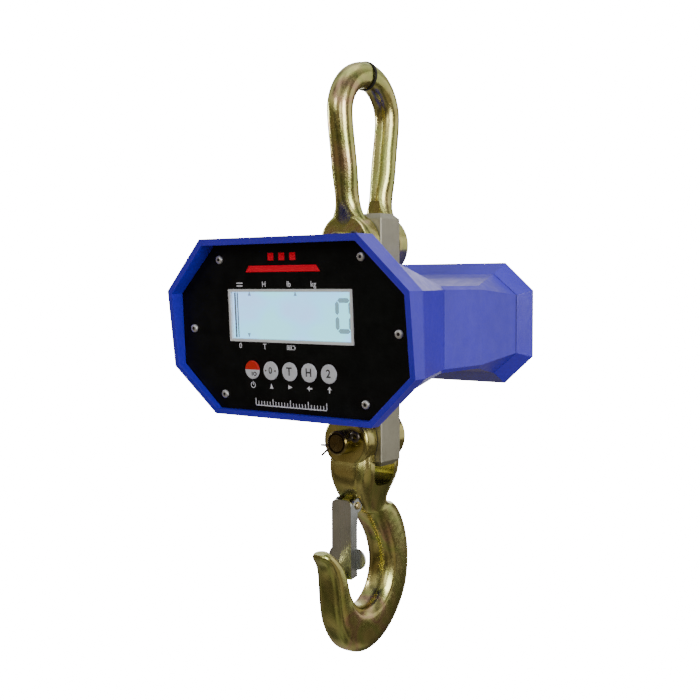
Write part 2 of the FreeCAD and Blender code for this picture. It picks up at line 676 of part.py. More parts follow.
def panel_screw_places():
    """Where the six panel screws go, as (u, v)."""
    corners = [(u, v) for v in (PANEL_SCREW_V, -PANEL_SCREW_V) for u in (-PANEL_SCREW_U, PANEL_SCREW_U)]
    return corners + [(-PANEL_SCREW_MID_U, PANEL_SCREW_MID_V), (PANEL_SCREW_MID_U, PANEL_SCREW_MID_V)]


def bezel_screw_places():
    """Where the four screws join the front housing to the bezel, as (u, v)."""
    u = BEZEL_HALF_W - WALL - BEZEL_SCREW_INSET
    return [(a * u, b * BEZEL_SCREW_Z) for a in (-1, 1) for b in (-1, 1)]


def housing_screw_places():
    """Where the four screws join the two housings, as (x, z)."""
    return [(x, HOUSING_Z + z) for x in (-HOUSING_SCREW_U, HOUSING_SCREW_U)
            for z in (-HOUSING_SCREW_V, HOUSING_SCREW_V)]


def front_bezel():
    """Octagonal frame: a slanted rim, a straight recess for the panel and a web with a window."""
    frame = ruled(bezel_outline(BEZEL_FRONT_Y - 30), bezel_outline(BODY_FRONT_Y, 0, PANEL_LEAN))
    frame = frame.cut(on_face(box(-200, 200, -60, 0, -200, 200), BEZEL_TILT, BEZEL_FRONT_Y))
    frame = frame.cut(on_face(face_prism(BEZEL_LIP, -40, WEB_FRONT)))
    middle = (WEB_WINDOW_TOP + WEB_WINDOW_BOTTOM) / 2
    height = WEB_WINDOW_TOP - WEB_WINDOW_BOTTOM
    frame = frame.cut(on_face(face_box(0, middle, 2 * WEB_WINDOW_HALF_U, height, -1, WEB_BACK + 1)))
    hole = SCREW_D / 2 + SCREW_HOLE_CLEAR
    for u, v in panel_screw_places():
        boss = face_rod(SCREW_BOSS_D / 2, u, v, WEB_FRONT + 0.5, WEB_BACK + SCREW_BOSS_LENGTH)
        frame = frame.fuse(on_face(boss))
        frame = frame.cut(on_face(face_rod(hole, u, v, 0, WEB_BACK + SCREW_BOSS_LENGTH - 1.0)))
    core = BEZEL_SCREW_D / 2 + SCREW_HOLE_CLEAR
    for u, v in bezel_screw_places():
        frame = frame.cut(on_face(face_rod(core, u, v, WEB_FRONT - 1, WEB_BACK + 1)))
    pocket_r = BUTTON_D / 2 + BUTTON_FLANGE + BUTTON_CLEAR
    pocket_depth = PANEL_BACK + BUTTON_FLANGE_GAP + BUTTON_FLANGE_THICK + BUTTON_TRAVEL + BUTTON_CLEAR
    for u in button_places():
        frame = frame.cut(on_face(face_rod(pocket_r, u, BUTTON_V, WEB_FRONT - 1, pocket_depth)))
    return frame.removeSplitter()


def front_housing():
    """Front casting: tapers from the bezel to the waist, with lugs for the screws at both ends."""
    end = WAIST_FRONT_Y - PARTING_GAP
    shell = ruled(body_outline(BODY_FRONT_Y), waist_outline(end))
    cavity = ruled(body_outline(BODY_FRONT_Y - 5, WALL), body_outline(BODY_FRONT_Y, WALL),
                   waist_outline(end, WALL), waist_outline(end + 5, WALL))
    shell = shell.cut(cavity)
    for u, v in bezel_screw_places():
        lug = face_rod(BEZEL_LUG_D / 2, u, v, WEB_BACK, WEB_BACK + BEZEL_LUG_LENGTH)
        reach = BEZEL_SCREW_INSET - 1.0
        middle = u + math.copysign(reach / 2, u)
        rib = face_box(middle, v, reach, BEZEL_LUG_D * 0.6, WEB_BACK, WEB_BACK + BEZEL_LUG_LENGTH)
        shell = shell.fuse(on_face(lug.fuse(rib)))
        shell = shell.cut(on_face(face_rod(BEZEL_SCREW_D / 2 + SCREW_HOLE_CLEAR, u, v, 0, WEB_BACK + BEZEL_LUG_LENGTH + 1)))
    for u, v in panel_screw_places():
        clear = face_rod(SCREW_BOSS_D / 2 + 0.4, u, v, 0, WEB_BACK + SCREW_BOSS_LENGTH + 0.4)
        shell = shell.cut(on_face(clear))
    core = HOUSING_SCREW_D / 2 + SCREW_HOLE_CLEAR
    for x, z in housing_screw_places():
        side = math.copysign(1, x)
        wall_x = side * (WAIST_HALF_W - WALL / 2)
        boss = rod(HOUSING_BOSS_D / 2, (x, end - HOUSING_BOSS_LENGTH, z), (x, end, z))
        rib = box(min(x, wall_x), max(x, wall_x), end - HOUSING_BOSS_LENGTH, end, z - 3, z + 3)
        shell = shell.fuse(boss.fuse(rib)).cut(rod(core, (x, end - HOUSING_BOSS_LENGTH + 2, z), (x, end, z)))
    return shell.removeSplitter()


def bezel_screws():
    """Four screws from inside the front housing into the bezel's web."""
    depth = WEB_BACK + BEZEL_LUG_LENGTH
    length = BEZEL_LUG_LENGTH + WEB_THICK - 0.4
    return [on_face(cap_screw(length, (u, depth, v), (0, -1, 0), BEZEL_SCREW_D, 7.0, 2.2))
            for u, v in bezel_screw_places()]


def bar_slot(gap, z0, z1):
    """The upright passage for the bar, wider than the bar by gap all round."""
    half_w, half_t = BAR_WIDTH / 2 + gap, BAR_THICK / 2 + gap
    slot = box(-half_w, half_w, -half_t, half_t, z0, z1)
    corners = [e for e in slot.Edges if e.BoundBox.ZLength > abs(z1 - z0) - 0.1]
    return slot.makeFillet(gap + 0.5, corners) if gap > 0 else slot


def rear_housing():
    """Rear casting: the waist round the bar and a flare that takes the battery."""
    outer = ruled(waist_outline(WAIST_FRONT_Y), waist_outline(WAIST_REAR_Y), flare_outline(FLARE_Y))
    inner = ruled(waist_outline(WAIST_FRONT_Y - 5, WALL), waist_outline(WAIST_REAR_Y, WALL),
                  flare_outline(FLARE_Y, WALL), flare_outline(FLARE_Y + 5, WALL))
    shell = outer.cut(inner)
    shell = shell.cut(bar_slot(SEAL_GAP, HOUSING_Z - 60, HOUSING_Z + 60))
    hole = HOUSING_SCREW_D / 2 + SCREW_HOLE_CLEAR
    for x, z in housing_screw_places():
        side = math.copysign(1, x)
        wall_x = side * (WAIST_HALF_W - WALL / 2)
        lug_end = WAIST_FRONT_Y + HOUSING_LUG_LENGTH
        lug = rod(HOUSING_BOSS_D / 2, (x, WAIST_FRONT_Y, z), (x, lug_end, z))
        rib = box(min(x, wall_x), max(x, wall_x), WAIST_FRONT_Y, lug_end, z - 3, z + 3)
        shell = shell.fuse(lug.fuse(rib)).cut(rod(hole, (x, WAIST_FRONT_Y - 1, z), (x, lug_end + 1, z)))
    for x, z in cover_screw_places():
        boss = rod(4.5, (x, FLARE_Y - 14, z), (x, FLARE_Y, z))
        boss = boss.common(ruled(flare_outline(FLARE_Y - 20, 1), flare_outline(FLARE_Y, 1)))
        shell = shell.fuse(boss)
        shell = shell.cut(rod(SCREW_D / 2 + SCREW_HOLE_CLEAR, (x, FLARE_Y - 12, z), (x, FLARE_Y + 1, z)))
    for side in (-1, 1):
        for y in bracket_floor_screws():
            x = side * (BAR_WIDTH / 2 + BRACKET_THICK + 12)
            floor = HOUSING_Z + WAIST_BOTTOM
            shell = shell.cut(rod(BRACKET_SCREW_D / 2 + SCREW_HOLE_CLEAR, (x, y, floor - 5), (x, y, floor + 20)))
    return shell.removeSplitter()


def cover_screw_places():
    """Where the rear cover's eight screws go, as (x, z)."""
    top = FLARE_HALF_H - COVER_SCREW_INSET
    side = FLARE_HALF_W - COVER_SCREW_INSET
    low = [(x, -top) for x in (-FLARE_TOP_HALF_W * 0.75, 0, FLARE_TOP_HALF_W * 0.75)]
    high = [(x, -z) for x, z in low]
    return [(x, HOUSING_Z + z) for x, z in low + high + [(-side, 0), (side, 0)]]


def bracket_screw_heights():
    """Heights of the screws that hold a bracket to the bar."""
    low = HOUSING_Z + WAIST_BOTTOM + WALL
    return [low + 9.0, low + 9.0 + BRACKET_SCREW_PITCH]


def bracket_floor_screws():
    """Depths of the screws that hold a bracket to the housing's floor."""
    return [-BRACKET_SCREW_PITCH / 2, BRACKET_SCREW_PITCH / 2]


def bar_bracket(side):
    """Angle bracket: one leg on the bar's side, one on the housing's floor."""
    floor = HOUSING_Z + WAIST_BOTTOM + WALL
    x0 = BAR_WIDTH / 2
    half = BRACKET_DEPTH / 2
    upright = box(x0, x0 + BRACKET_THICK, -half, half, floor, floor + 32)
    foot = box(x0, x0 + BRACKET_LEG, -half, half, floor, floor + BRACKET_THICK)
    web = upright.fuse(foot)
    hole = BRACKET_SCREW_D / 2 + SCREW_HOLE_CLEAR
    for z in bracket_screw_heights():
        web = web.cut(rod(hole, (x0 - 1, 0, z), (x0 + BRACKET_THICK + 1, 0, z)))
    for y in bracket_floor_screws():
        x = x0 + BRACKET_THICK + 12
        web = web.cut(rod(hole, (x, y, floor - 1), (x, y, floor + BRACKET_THICK + 1)))
    web = web.removeSplitter()
    return web if side > 0 else mirrored_x(web)


def cap_screw(length, start, along, shank_d, head_d, head_thick):
    """A button-head screw: start is under the head, along points down the shank."""
    way = V(*along)
    way.normalize()
    seat = V(*start)
    shank = Part.makeCylinder(shank_d / 2, length, seat, way)
    head = Part.makeCylinder(head_d / 2, head_thick, seat, way * -1)
    top = seat - way * head_thick
    rim = [e for e in head.Edges if e.Closed and (e.CenterOfMass - top).Length < 0.01]
    head = head.makeFillet(head_thick * 0.7, rim)
    socket = Part.makeCylinder(SCREW_SOCKET_D / 2 * head_d / SCREW_HEAD_D, SCREW_SOCKET_DEPTH, top, way)
    return head.fuse(shank).cut(socket).removeSplitter()


def bracket_screws():
    """All eight screws of the two brackets."""
    screws = []
    floor = HOUSING_Z + WAIST_BOTTOM
    for side in (-1, 1):
        for z in bracket_screw_heights():
            start = (side * (BAR_WIDTH / 2 + BRACKET_THICK), 0, z)
            screws.append(cap_screw(12.0, start, (-side, 0, 0), BRACKET_SCREW_D, 8.6, 2.6))
        for y in bracket_floor_screws():
            start = (side * (BAR_WIDTH / 2 + BRACKET_THICK + 12), y, floor)
            screws.append(cap_screw(WALL + BRACKET_THICK + 3, start, (0, 0, 1), BRACKET_SCREW_D, 8.6, 2.6))
    return screws


def housing_screws():
    """The four screws that pull the two housings together, put in from behind."""
    head_y = WAIST_FRONT_Y + HOUSING_LUG_LENGTH
    return [cap_screw(HOUSING_LUG_LENGTH + 12, (x, head_y, z), (0, -1, 0), HOUSING_SCREW_D, 9.0, 3.0)
            for x, z in housing_screw_places()]


def bar_seal(top):
    """Rubber collar between the bar and the housing, with a lip over the housing's face."""
    face = HOUSING_Z + (WAIST_TOP if top else WAIST_BOTTOM)
    out = 1 if top else -1
    inside = face - out * (WALL - 0.3)
    outside = face + out * SEAL_PROUD
    low, high = min(inside, outside), max(inside, outside)
    collar = bar_slot(SEAL_GAP - 0.1, low, high)
    lip_low, lip_high = min(face, outside), max(face, outside)
    lip = bar_slot(SEAL_GAP + SEAL_OVERHANG, lip_low, lip_high)
    return collar.fuse(lip).cut(bar_slot(0, low - 1, high + 1)).removeSplitter()


# ---------------------------------------------------------------- front panel
def front_panel():
    """Flat octagonal panel with openings for the display, the buttons and its screws."""
    plate = face_prism(PANEL_INSET, 0, PANEL_BACK)
    opening = face_box(DISPLAY_U, DISPLAY_V, DISPLAY_W - 2 * DISPLAY_FRAME_FLANGE,
                       DISPLAY_H - 2 * DISPLAY_FRAME_FLANGE, -1, PANEL_BACK + 1)
    plate = plate.cut(opening)
    for u in button_places():
        plate = plate.cut(face_rod(BUTTON_D / 2 + BUTTON_CLEAR, u, BUTTON_V, -1, PANEL_BACK + 1))
    for u, v in panel_screw_places():
        plate = plate.cut(face_rod(SCREW_D / 2 + SCREW_HOLE_CLEAR, u, v, -1, PANEL_BACK + 1))
    return on_face(plate)


def panel_gasket():
    """Flat gasket under the panel's edge."""
    ring = face_prism(PANEL_INSET + 0.5, PANEL_BACK, WEB_FRONT)
    ring = ring.cut(face_prism(PANEL_INSET + PANEL_GASKET_WIDTH, 0, WEB_FRONT + 1))
    for u, v in panel_screw_places():
        ring = ring.cut(face_rod(SCREW_HEAD_D / 2, u, v, 0, WEB_FRONT + 1))
    return on_face(ring)


def panel_screws():
    """Six button-head screws that hold the panel."""
    return [on_face(cap_screw(PANEL_SCREW_LENGTH, (u, 0, v), (0, 1, 0),
                              SCREW_D, SCREW_HEAD_D, SCREW_HEAD_THICK))
            for u, v in panel_screw_places()]


def display_frame():
    """Slim metal surround: a proud border and a flange that goes through the panel."""
    proud = face_box(DISPLAY_U, DISPLAY_V, DISPLAY_W, DISPLAY_H, -DISPLAY_FRAME_PROUD, 0)
    flange = face_box(DISPLAY_U, DISPLAY_V, DISPLAY_W - 2 * DISPLAY_FRAME_FLANGE - 0.2,
                      DISPLAY_H - 2 * DISPLAY_FRAME_FLANGE - 0.2, 0, PANEL_BACK)
    hole = face_box(DISPLAY_U, DISPLAY_V, DISPLAY_W - 2 * DISPLAY_BORDER, DISPLAY_H - 2 * DISPLAY_BORDER,
                    -2, PANEL_BACK + 1)
    return on_face(proud.fuse(flange).cut(hole).removeSplitter())


def display_layer(grow, depth0, depth1):
    """One flat layer of the display stack, larger than the frame's opening by grow each side."""
    width = DISPLAY_W - 2 * DISPLAY_BORDER + 2 * grow
    height = DISPLAY_H - 2 * DISPLAY_BORDER + 2 * grow
    return on_face(face_box(DISPLAY_U, DISPLAY_V, width, height, depth0, depth1))


WINDOW_DEPTH = 0.2
GLASS_DEPTH = WINDOW_DEPTH + WINDOW_THICK + 0.1
BACKLIGHT_DEPTH = GLASS_DEPTH + GLASS_THICK + 0.1
BOARD_DEPTH = BACKLIGHT_DEPTH + BACKLIGHT_THICK + 0.2
SWITCH_TOP = BOARD_DEPTH - SWITCH_HEIGHT


def button_places():
    """Where the five buttons stand along the panel."""
    return [BUTTON_FIRST_U + BUTTON_PITCH * k for k in range(len(BUTTON_NAMES))]


def button(u):
    """A round key: slightly crowned cap, a flange behind the panel, a plunger over its switch."""
    front = -BUTTON_PROUD
    flange_front = PANEL_BACK + BUTTON_FLANGE_GAP
    flange_back = flange_front + BUTTON_FLANGE_THICK
    cap = face_rod(BUTTON_D / 2, u, BUTTON_V, front, flange_front)
    rim = edges_where(cap, lambda p: abs(p.y - front) < 0.01)
    cap = cap.makeFillet(0.5, rim)
    flange = face_rod(BUTTON_D / 2 + BUTTON_FLANGE, u, BUTTON_V, flange_front, flange_back)
    plunger = face_rod(2.0, u, BUTTON_V, flange_back, SWITCH_TOP - SWITCH_GAP - BUTTON_TRAVEL)
    return on_face(cap.fuse(flange).fuse(plunger).removeSplitter())


def main_board():
    """Circuit board behind the panel, drilled for its standoffs, with a large chip and a terminal."""
    board = face_box(0, BOARD_V, BOARD_W, BOARD_H, BOARD_DEPTH, BOARD_DEPTH + BOARD_THICK)
    for u, v in standoff_places():
        board = board.cut(face_rod(1.6, u, v, BOARD_DEPTH - 1, BOARD_DEPTH + BOARD_THICK + 1))
    back = BOARD_DEPTH + BOARD_THICK
    board = board.fuse(face_box(20, 15, 14, 14, back, back + 1.6))
    board = board.fuse(face_box(-40, 20, 26, 9, back, back + 8))
    board = board.fuse(face_box(60, -15, 18, 9, back, back + 8))
    return on_face(board.removeSplitter())


def standoff_places():
    """Corners of the board, as (u, v)."""
    u, v = BOARD_W / 2 - STANDOFF_INSET, BOARD_H / 2 - STANDOFF_INSET
    return [(a * u, BOARD_V + b * v) for a in (-1, 1) for b in (-1, 1)]


def board_standoffs():
    """Four spacers between the panel and the board, each with a screw spigot through the board."""
    spacers = []
    for u, v in standoff_places():
        body = face_rod(STANDOFF_D / 2, u, v, PANEL_BACK, BOARD_DEPTH)
        spigot = face_rod(1.5, u, v, BOARD_DEPTH, BOARD_DEPTH + BOARD_THICK)
        head = face_rod(2.8, u, v, BOARD_DEPTH + BOARD_THICK, BOARD_DEPTH + BOARD_THICK + 1.8)
        spacers.append(on_face(body.fuse(spigot).fuse(head).removeSplitter()))
    return spacers


def key_switches():
    """Five tactile switches on the board under the buttons."""
    half = SWITCH_SIDE / 2
    switches = []
    for u in button_places():
        body = face_box(u, BUTTON_V, SWITCH_SIDE, SWITCH_SIDE, SWITCH_TOP + 0.8, BOARD_DEPTH)
        stem = face_rod(half * 0.5, u, BUTTON_V, SWITCH_TOP, SWITCH_TOP + 0.8)
        switches.append(on_face(body.fuse(stem).removeSplitter()))
    return switches


# ---------------------------------------------------------------- rear end
BATTERY_FRONT = WAIST_REAR_Y + 12.0


def battery_pack():
    """Rechargeable pack with rounded long edges."""
    w, d, h = BATTERY
    z0 = HOUSING_Z - h / 2
    pack = box(-w / 2, w / 2, BATTERY_FRONT, BATTERY_FRONT + d, z0, z0 + h)
    return pack.makeFillet(2.0, [e for e in pack.Edges if e.BoundBox.XLength > w - 1])


def battery_tray():
    """Open tray under and in front of the pack, on two feet that stand on the housing's floor."""
    w, d, h = BATTERY
    t, g = BATTERY_TRAY_WALL, BATTERY_GAP
    z0 = HOUSING_Z - h / 2 - g
    outer = box(-w / 2 - g - t, w / 2 + g + t, BATTERY_FRONT - g - t, BATTERY_FRONT + d, z0 - t, z0 + 20)
    inner = box(-w / 2 - g, w / 2 + g, BATTERY_FRONT - g, BATTERY_FRONT + d + 5, z0, z0 + 40)
    tray = outer.cut(inner)
    floor = HOUSING_Z + WAIST_BOTTOM + WALL + 0.2
    for x in (-w / 3, w / 3):
        tray = tray.fuse(box(x - 6, x + 6, BATTERY_FRONT, BATTERY_FRONT + 12, floor, z0 - t))
    return tray.removeSplitter()


def battery_strap():
    """Band over the pack, clipped to the tray's sides."""
    w, d, h = BATTERY
    g = BATTERY_GAP
    t = BATTERY_STRAP_THICK
    middle = BATTERY_FRONT + d / 2
    y0, y1 = middle - BATTERY_STRAP_W / 2, middle + BATTERY_STRAP_W / 2
    z0 = HOUSING_Z - h / 2 - g
    top = HOUSING_Z + h / 2
    side = w / 2 + g + BATTERY_TRAY_WALL
    outer = box(-side - t, side + t, y0, y1, z0, top + t)
    inner = box(-side, side, y0 - 1, y1 + 1, z0 - 1, top)
    return outer.cut(inner)


def rear_cover():
    """Rear cap: an octagonal tray that flares out past the housing, with a locating spigot."""
    front = FLARE_Y + COVER_GASKET_THICK
    outer = ruled(flare_outline(front), rim_outline(RIM_Y))
    back_edges = edges_where(outer, lambda p: abs(p.y - RIM_Y) < 0.01)
    outer = outer.makeFillet(RIM_ROUND, back_edges)
    recess = ruled(rim_outline(RIM_Y - 3, 9), rim_outline(RIM_Y + 1, 8))
    hollow = ruled(flare_outline(front - 1, 14), flare_outline(RIM_Y - 3 - COVER_THICK, 14))
    body = outer.cut(recess).cut(hollow)
    taper = COVER_SPIGOT * (FLARE_HALF_H - WAIST_TOP) / (FLARE_Y - WAIST_REAR_Y)
    slack = WALL + SPIGOT_CLEAR
    inset = slack + SPIGOT_THICK
    spigot = ruled(flare_outline(FLARE_Y - COVER_SPIGOT, slack + taper), flare_outline(front, slack))
    bore = ruled(flare_outline(FLARE_Y - COVER_SPIGOT - 1, inset + taper), flare_outline(front, inset))
    spigot = spigot.cut(bore)
    for x, z in cover_screw_places():
        spigot = spigot.cut(rod(5.2, (x, FLARE_Y - COVER_SPIGOT - 1, z), (x, front, z)))
    body = body.fuse(spigot)
    hole = SCREW_D / 2 + SCREW_HOLE_CLEAR
    seat = SCREW_HEAD_D / 2 + 0.4
    for x, z in cover_screw_places():
        body = body.cut(rod(hole, (x, FLARE_Y - 10, z), (x, RIM_Y + 5, z)))
        body = body.cut(rod(seat, (x, cover_seat_y(), z), (x, RIM_Y + 5, z)))
    body = body.cut(rod(SOCKET_D / 2 + 0.1, socket_point(FLARE_Y - 10), socket_point(RIM_Y + 5)))
    return body.removeSplitter()


def cover_seat_y():
    """Depth at which the rear cover's screw heads sit."""
    return RIM_Y - 3 - SCREW_HEAD_THICK - 0.6


def rear_cover_gasket():
    """Flat ring between the rear housing and its cover."""
    ring = ruled(flare_outline(FLARE_Y, 0.4), flare_outline(FLARE_Y + COVER_GASKET_THICK, 0.4))
    ring = ring.cut(ruled(flare_outline(FLARE_Y - 1, WALL + 0.4), flare_outline(FLARE_Y + 3, WALL + 0.4)))
    return ring.removeSplitter()


def rear_cover_screws():
    """Eight screws through the cover into the rear housing."""
    length = cover_seat_y() - FLARE_Y + 9
    return [cap_screw(length, (x, cover_seat_y(), z), (0, -1, 0), SCREW_D, SCREW_HEAD_D, SCREW_HEAD_THICK)
            for x, z in cover_screw_places()]


def socket_point(y):
    """A point on the charger socket's axis."""
    return (SOCKET_U, y, HOUSING_Z + SOCKET_V)


def charger_socket():
    """Round panel socket: flange outside the cover, nut inside, a bore for the plug."""
    face = RIM_Y - 3
    inner = face - COVER_THICK
    body = rod(SOCKET_D / 2, socket_point(face - SOCKET_LENGTH), socket_point(face))
    flange = rod(SOCKET_FLANGE_D / 2, socket_point(face), socket_point(face + 1.5))
    nut = rod(SOCKET_FLANGE_D / 2 - 1, socket_point(inner - 3), socket_point(inner))
    bore = rod(SOCKET_BORE_D / 2, socket_point(face - 10), socket_point(face + 3))
    return body.fuse(flange).fuse(nut).cut(bore).removeSplitter()


def charger_cap():
    """Rubber cap that plugs the charger socket."""
    face = RIM_Y - 1.5
    disc = rod(SOCKET_FLANGE_D / 2 + 0.6, socket_point(face), socket_point(face + CAP_THICK))
    rim = edges_where(disc, lambda p: abs(p.y - face - CAP_THICK) < 0.01)
    disc = disc.makeFillet(1.0, rim)
    plug = rod(SOCKET_BORE_D / 2 - 0.1, socket_point(face - 8), socket_point(face))
    return disc.fuse(plug).removeSplitter()


def lead(points, diameter):
    """A held cable: straight runs joined by tangent arcs as large as the runs allow."""
    corners = [V(*p) for p in points]
    edges = []
    start = corners[0]
    for before, corner, after in zip(corners, corners[1:], corners[2:]):
        back, ahead = before - corner, after - corner
        turn = math.pi - back.getAngle(ahead)
        setback = 0.45 * min(back.Length, ahead.Length)
        radius = setback / math.tan(turn / 2)
        a = corner + back * (setback / back.Length)
        b = corner + ahead * (setback / ahead.Length)
        bisector = (back.normalize() + ahead.normalize()).normalize()
        gap = radius / math.cos(turn / 2) - radius
        edges.append(Part.LineSegment(start, a).toShape())
        edges.append(Part.Arc(a, corner + bisector * gap, b).toShape())
        start = b
    edges.append(Part.LineSegment(start, corners[-1]).toShape())
    path = Part.Wire(edges)
    way = corners[1] - corners[0]
    ring = Part.Wire(Part.makeCircle(diameter / 2, corners[0], way))
    return path.makePipeShell([ring], True, True)


def load_cell_lead():
    """Screened lead from the front gauge cover to the board's terminal."""
    start_y = -(BAR_THICK / 2 + 0.1)
    terminal = on_face(Part.Vertex(-40, BOARD_DEPTH + BOARD_THICK + 8.3, 20)).Point
    return lead([(0, start_y, HOUSING_Z), (0, start_y - 22, HOUSING_Z),
                 (-24, start_y - 38, HOUSING_Z + 10), (terminal.x, terminal.y + 18, terminal.z + 2),
                 tuple(terminal)], LEAD_D)


def battery_lead():
    """Twin lead from the pack round the bar to the board."""
    w, d, h = BATTERY
    start_y = BATTERY_FRONT - BATTERY_GAP - BATTERY_TRAY_WALL - 0.3
    terminal = on_face(Part.Vertex(60, BOARD_DEPTH + BOARD_THICK + 8.3, -15)).Point
    route = [(44, start_y, HOUSING_Z + 4), (52, start_y - 18, HOUSING_Z + 5), (66, 0, HOUSING_Z + 7),
             (72, -30, HOUSING_Z + 4), (66, -58, HOUSING_Z - 4),
             (terminal.x, terminal.y + 20, terminal.z + 2), tuple(terminal)]
    return lead(route, LEAD_D - 1)


# ---------------------------------------------------------------- files
def main():
    """Builds every node and writes its file."""
    os.makedirs("parts", exist_ok=True)
    write("load_cell_bar", load_cell_bar())
    write("gauge_cover_front", gauge_cover(-1))
    write("gauge_cover_rear", gauge_cover(1))
    write("bow_shackle", bow_shackle())
    write("bow_marker_ring", bow_marker_ring())
    write("upper_clevis_pin", clevis_pin(UPPER_PIN_Z, SHACKLE_EAR_THICK))
    write("upper_split_pin", split_pin(UPPER_PIN_Z, SHACKLE_EAR_THICK))
    write("hook", hook())
    write("lower_clevis_pin", clevis_pin(LOWER_PIN_Z, HOOK_EAR_THICK))
    write("lower_split_pin", split_pin(LOWER_PIN_Z, HOOK_EAR_THICK))
    write("latch", latch())
    write("latch_rivet", latch_rivet())
    write("latch_spring", *latch_spring())
    write("front_bezel", front_bezel())
    write("bezel_screws", *bezel_screws())
    write("front_housing", front_housing())
    write("rear_housing", rear_housing())
    write("bar_bracket_left", bar_bracket(-1))
    write("bar_bracket_right", bar_bracket(1))
    write("bracket_screws", *bracket_screws())
    write("housing_screws", *housing_screws())
    write("bar_seal_top", bar_seal(True))
    write("bar_seal_bottom", bar_seal(False))
    write("front_panel", front_panel())
    write("panel_gasket", panel_gasket())
    write("panel_screws", *panel_screws())
    write("display_frame", display_frame())
    write("display_window", display_layer(-0.2, WINDOW_DEPTH, WINDOW_DEPTH + WINDOW_THICK))
    write("display_glass", display_layer(-0.2, GLASS_DEPTH, GLASS_DEPTH + GLASS_THICK))
    write("backlight", display_layer(-0.2, BACKLIGHT_DEPTH, BACKLIGHT_DEPTH + BACKLIGHT_THICK))
    for name, u in zip(BUTTON_NAMES, button_places()):
        write(name, button(u))
    write("main_board", main_board())
    write("board_standoffs", *board_standoffs())
    write("key_switches", *key_switches())
    write("battery_pack", battery_pack())
    write("battery_tray", battery_tray())
    write("battery_strap", battery_strap())
    write("rear_cover", rear_cover())
    write("rear_cover_gasket", rear_cover_gasket())
    write("rear_cover_screws", *rear_cover_screws())
    write("charger_socket", charger_socket())
    write("charger_cap", charger_cap())
    write("load_cell_lead", load_cell_lead())
    write("battery_lead", battery_lead())


main()
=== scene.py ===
"""Dresses the crane scale: finishes for every piece, soft edges, the panel's print and the studio."""

import json
import logging
import math
from dataclasses import dataclass, field
from enum import Enum

import bmesh
import bpy
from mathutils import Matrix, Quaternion, Vector


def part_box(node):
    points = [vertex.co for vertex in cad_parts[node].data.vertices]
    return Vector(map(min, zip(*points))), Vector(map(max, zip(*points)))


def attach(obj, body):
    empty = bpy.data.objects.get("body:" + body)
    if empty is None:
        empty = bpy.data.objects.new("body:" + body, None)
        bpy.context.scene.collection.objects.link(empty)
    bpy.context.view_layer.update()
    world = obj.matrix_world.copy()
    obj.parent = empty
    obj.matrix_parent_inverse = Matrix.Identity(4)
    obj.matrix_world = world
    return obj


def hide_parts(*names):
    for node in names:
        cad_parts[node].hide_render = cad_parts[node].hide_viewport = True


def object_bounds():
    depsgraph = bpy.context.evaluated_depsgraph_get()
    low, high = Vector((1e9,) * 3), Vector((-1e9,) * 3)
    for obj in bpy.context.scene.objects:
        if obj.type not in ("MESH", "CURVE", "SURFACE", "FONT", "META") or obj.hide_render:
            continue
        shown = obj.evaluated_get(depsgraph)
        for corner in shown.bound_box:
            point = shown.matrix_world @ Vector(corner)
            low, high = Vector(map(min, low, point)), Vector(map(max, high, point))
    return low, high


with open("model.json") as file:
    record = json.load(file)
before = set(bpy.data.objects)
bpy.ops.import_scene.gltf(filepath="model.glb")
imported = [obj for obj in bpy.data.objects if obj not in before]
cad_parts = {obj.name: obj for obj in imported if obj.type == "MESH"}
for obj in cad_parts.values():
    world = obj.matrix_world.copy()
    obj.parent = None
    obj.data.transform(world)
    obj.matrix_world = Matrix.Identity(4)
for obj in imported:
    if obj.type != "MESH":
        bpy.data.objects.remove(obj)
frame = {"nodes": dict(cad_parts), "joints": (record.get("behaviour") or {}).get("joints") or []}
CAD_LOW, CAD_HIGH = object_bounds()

LOG = logging.getLogger("crane_scale")
MM = 0.001
WHITE = (1.0, 1.0, 1.0, 1.0)

# Soft edges of the castings
BROAD_FACE = 60.0 * MM * MM           # a face above this area is a wall and not part of a bend
CREASE_ANGLE = math.radians(1.2)      # walls that meet at more than this keep a crease
WELD_DISTANCE = 1e-6
FLAT_ANGLE = math.radians(0.5)        # faces that meet at less than this become one
EDGE_ANGLE = math.radians(24.0)       # edges sharper than this are broken
EDGE_SEGMENTS = 3
AREA_WEIGHT = 100

# Flat drawing
HOOP_STEPS = 28
ARROW_SPREAD = 0.85                   # half width of an arrow's head, over half its height
ARROW_TAIL = 0.13                     # half width of an arrow's tail, over its height
TYPE_STEPS = 4
TYPE_WEIGHT = 0.018                   # how far letters are thickened, over their height
SEGMENT_GAP = 0.14                    # gap between segments, over their width

# A Mix node lists its number, vector and colour sockets in turn
MIX_SHARE, MIX_FIRST, MIX_SECOND, MIX_RESULT = 0, 6, 7, 2

Triple = tuple[float, float, float]
Colour = Triple
Point = tuple[float, float]
Outline = list[Point]
Socket = bpy.types.NodeSocket


class Slot(Enum):
    """Names of the record's material slots."""

    BLUE_PAINT = "blue_paint"
    BAR_STEEL = "bar_steel"
    PANEL_BLACK = "panel_black"
    LCD_GLASS = "lcd_glass"
    KEY_GREY = "key_grey"
    KEY_RED = "key_red"
    DARK_STEEL = "dark_steel"


# ------------------------------------------------------------------ shared helpers
def fill_ramp(node: bpy.types.Node, stops: "list | tuple") -> None:
    """Gives a colour ramp its stops.

    Args:
        node: The ramp.
        stops: Places from 0 to 1 and their colours.
    """
    elements = node.color_ramp.elements
    while len(elements) < len(stops):
        elements.new(0.5)
    for element, (place, colour) in zip(elements, stops):
        element.position = place
        element.color = (*colour, 1.0)


def joint_named(name: str) -> dict:
    """The record's joint of this name."""
    return next(joint for joint in frame["joints"] if joint["name"] == name)


def into_scene(thing: bpy.types.Object) -> None:
    """Links an object to the scene."""
    bpy.context.scene.collection.objects.link(thing)


